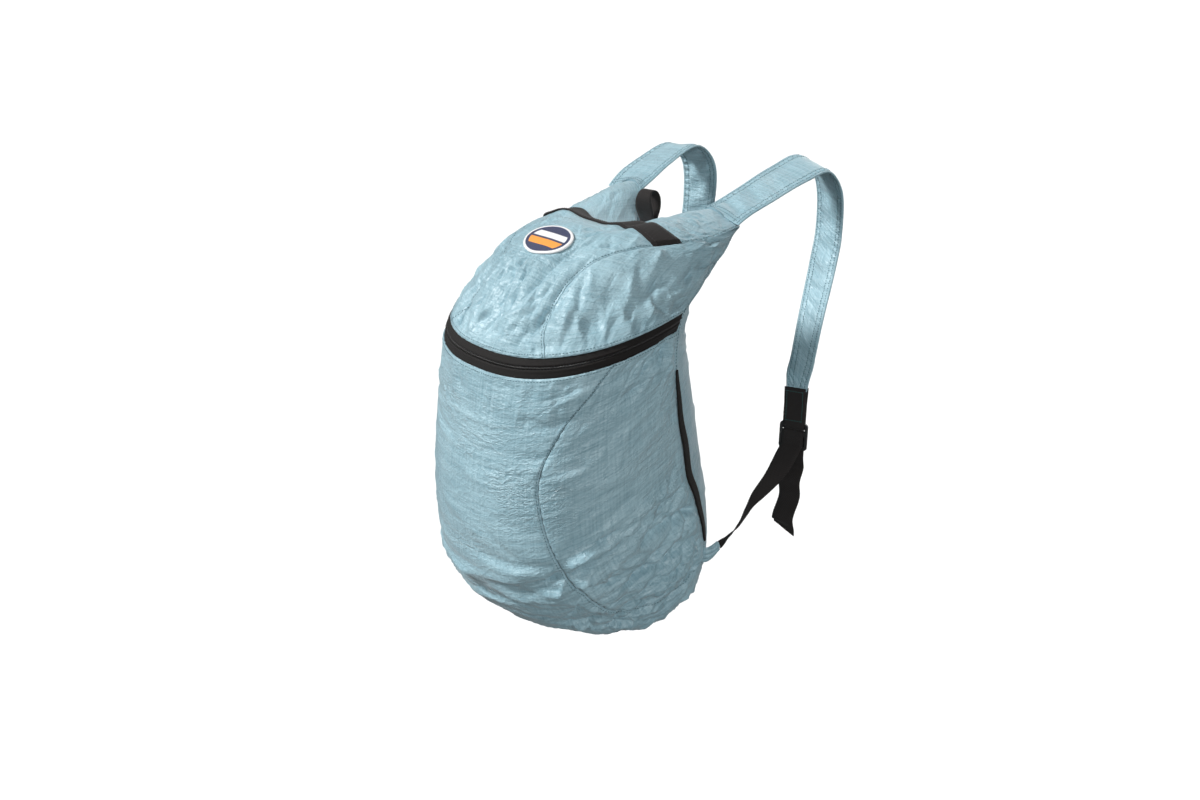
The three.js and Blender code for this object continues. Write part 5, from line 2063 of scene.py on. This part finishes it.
# The suns: name, direction from the bag, how wide they look in degrees, and watts on a square metre
SUNS = (
    ("key", (-0.70, -0.95, 1.0), 12.0, 3.8),
    ("fill", (0.90, -0.50, 0.35), 14.0, 1.15),
    ("front", (0.6, -1.0, 0.35), 60.0, 0.15),
    ("back", (-0.25, 1.0, 0.25), 50.0, 1.5),
)
WHITE, PALE, BLACK = (1, 1, 1, 1), (0.98, 0.98, 0.98, 1), (0, 0, 0, 1)


@dataclass
class Studio:
    """Pale floor, soft light and the camera at the photograph's angle."""

    azimuth: float = 50.0
    elevation: float = 20.0
    distance: float = 1.8
    target: tuple[float, float, float] = (0.0, -0.245, -0.210)
    lens: float = 50.0
    sensor: float = 36.0
    shift: Pair = (0.0119, -0.0168)
    floor_drop: float = 0.6
    floor_half: float = 20.0
    floor_tones: tuple[Colour, Colour] = ((0.93, 0.93, 0.93, 1), (0.96, 0.96, 0.96, 1))
    sky_strength: float = 0.15
    panel_place: tuple[float, float, float] = (2.2, -0.6, 0.5)
    panel_size: float = 1.6
    panel_power: float = 4.0
    dome_radius: float = 18.0

    def camera(self) -> None:
        """TwoArrays the camera on a sphere round the target."""
        a, e = math.radians(self.azimuth), math.radians(self.elevation)
        back = Vector((math.sin(a) * math.cos(e), -math.cos(a) * math.cos(e), math.sin(e)))
        data = bpy.data.cameras.new("camera")
        data.lens, data.sensor_width = self.lens, self.sensor
        data.shift_x, data.shift_y = self.shift
        camera = bpy.data.objects.new("camera", data)
        camera.location = Vector(self.target) + back * self.distance
        camera.rotation_euler = (-back).to_track_quat("-Z", "Y").to_euler()
        bpy.context.collection.objects.link(camera)
        bpy.context.scene.camera = camera

    def panel(self) -> None:
        """A square soft light at the bag's right that looks at the target."""
        data = bpy.data.lights.new("panel", "AREA")
        data.size, data.energy = self.panel_size, self.panel_power
        light = bpy.data.objects.new("panel", data)
        place = Vector(self.panel_place)
        light.location = Vector(self.target) + place
        light.rotation_euler = (-place).to_track_quat("-Z", "Y").to_euler()
        bpy.context.collection.objects.link(light)

    def sun(self, name: str, towards: tuple[float, float, float], spread: float, strength: float) -> None:
        """An even soft light from far away.

        Args:
            name: Its name.
            towards: The direction from the bag to the light.
            spread: How wide it looks, in degrees.
            strength: Its power in watts on a square metre.
        """
        data = bpy.data.lights.new(name, "SUN")
        data.angle, data.energy = math.radians(spread), strength
        light = bpy.data.objects.new(name, data)
        light.rotation_euler = (-Vector(towards)).to_track_quat("-Z", "Y").to_euler()
        bpy.context.collection.objects.link(light)

    def floor(self) -> None:
        """A wide pale floor below the bag."""
        shader = Shader("pale_floor")
        tone = shader.grain(3.0)
        shader.finish(None, 0.0, {
            "Base Color": shader.blend(tone, *self.floor_tones),
            "Roughness": 0.9,
        })
        height = CAD_BOX[0][2] - self.floor_drop
        mesh = bpy.data.meshes.new("floor")
        half = self.floor_half
        corners = [(x, y, height) for x, y in ((-half, -half), (half, -half), (half, half), (-half, half))]
        mesh.from_pydata(corners, [], [(0, 1, 2, 3)])
        mesh.materials.append(shader.material)
        floor = bpy.data.objects.new("floor", mesh)
        bpy.context.collection.objects.link(floor)
        floor.visible_diffuse = False
        floor.visible_glossy = False

    def backdrop(self) -> None:
        """A far white dome that only the camera sees."""
        shader = Shader("white_backdrop")
        white = shader.blend(shader.grain(1.0), WHITE, PALE)
        sockets = {"Base Color": BLACK, "Emission Color": white, "Emission Strength": 1.0}
        shader.finish(None, 0.0, sockets)
        form = bmesh.new()
        bmesh.ops.create_icosphere(form, subdivisions=3, radius=self.dome_radius)
        mesh = bpy.data.meshes.new("backdrop")
        form.to_mesh(mesh)
        form.free()
        mesh.materials.append(shader.material)
        dome = bpy.data.objects.new("backdrop", mesh)
        bpy.context.collection.objects.link(dome)
        for ray in ("visible_diffuse", "visible_glossy", "visible_transmission", "visible_shadow"):
            setattr(dome, ray, False)

    def sky(self) -> None:
        """An even dim white all round."""
        world = bpy.data.worlds.new("sky")
        world.use_nodes = True
        background = world.node_tree.nodes["Background"].inputs
        background["Color"].default_value = WHITE
        background["Strength"].default_value = self.sky_strength
        bpy.context.scene.world = world

    def build(self) -> None:
        """Sets up camera, floor, sky and lights."""
        self.camera()
        self.floor()
        self.sky()
        self.backdrop()
        bpy.context.scene.view_settings.view_transform = "Standard"
        for sun in SUNS:
            self.sun(*sun)
        self.panel()


def main() -> None:
    """Builds the sub-assemblies in order."""
    logging.basicConfig(level=logging.INFO)
    Studio().build()
    BagCloth().build()
    Zip().build()
    Trim().build()
    blue, green = Stitches(), Stitches()
    ends = (
        StrapEnd("right", (127, 176.5, 251), (0.06, -0.1, -0.99)),
        StrapEnd("left", (-119, 164.5, 210), (-0.06, -0.1, -0.99)),
    )
    for end in ends:
        ShoulderStrap(end).build(blue)
        StrapHardware(end).build(green)
    blue.piece("strap_stitches", "nylon", BLUE_THREAD_AND_HOLE_SHADE)
    green.piece("tab_stitches", "webbing", GREEN_THREAD)


if __name__ == "__main__":
    main()
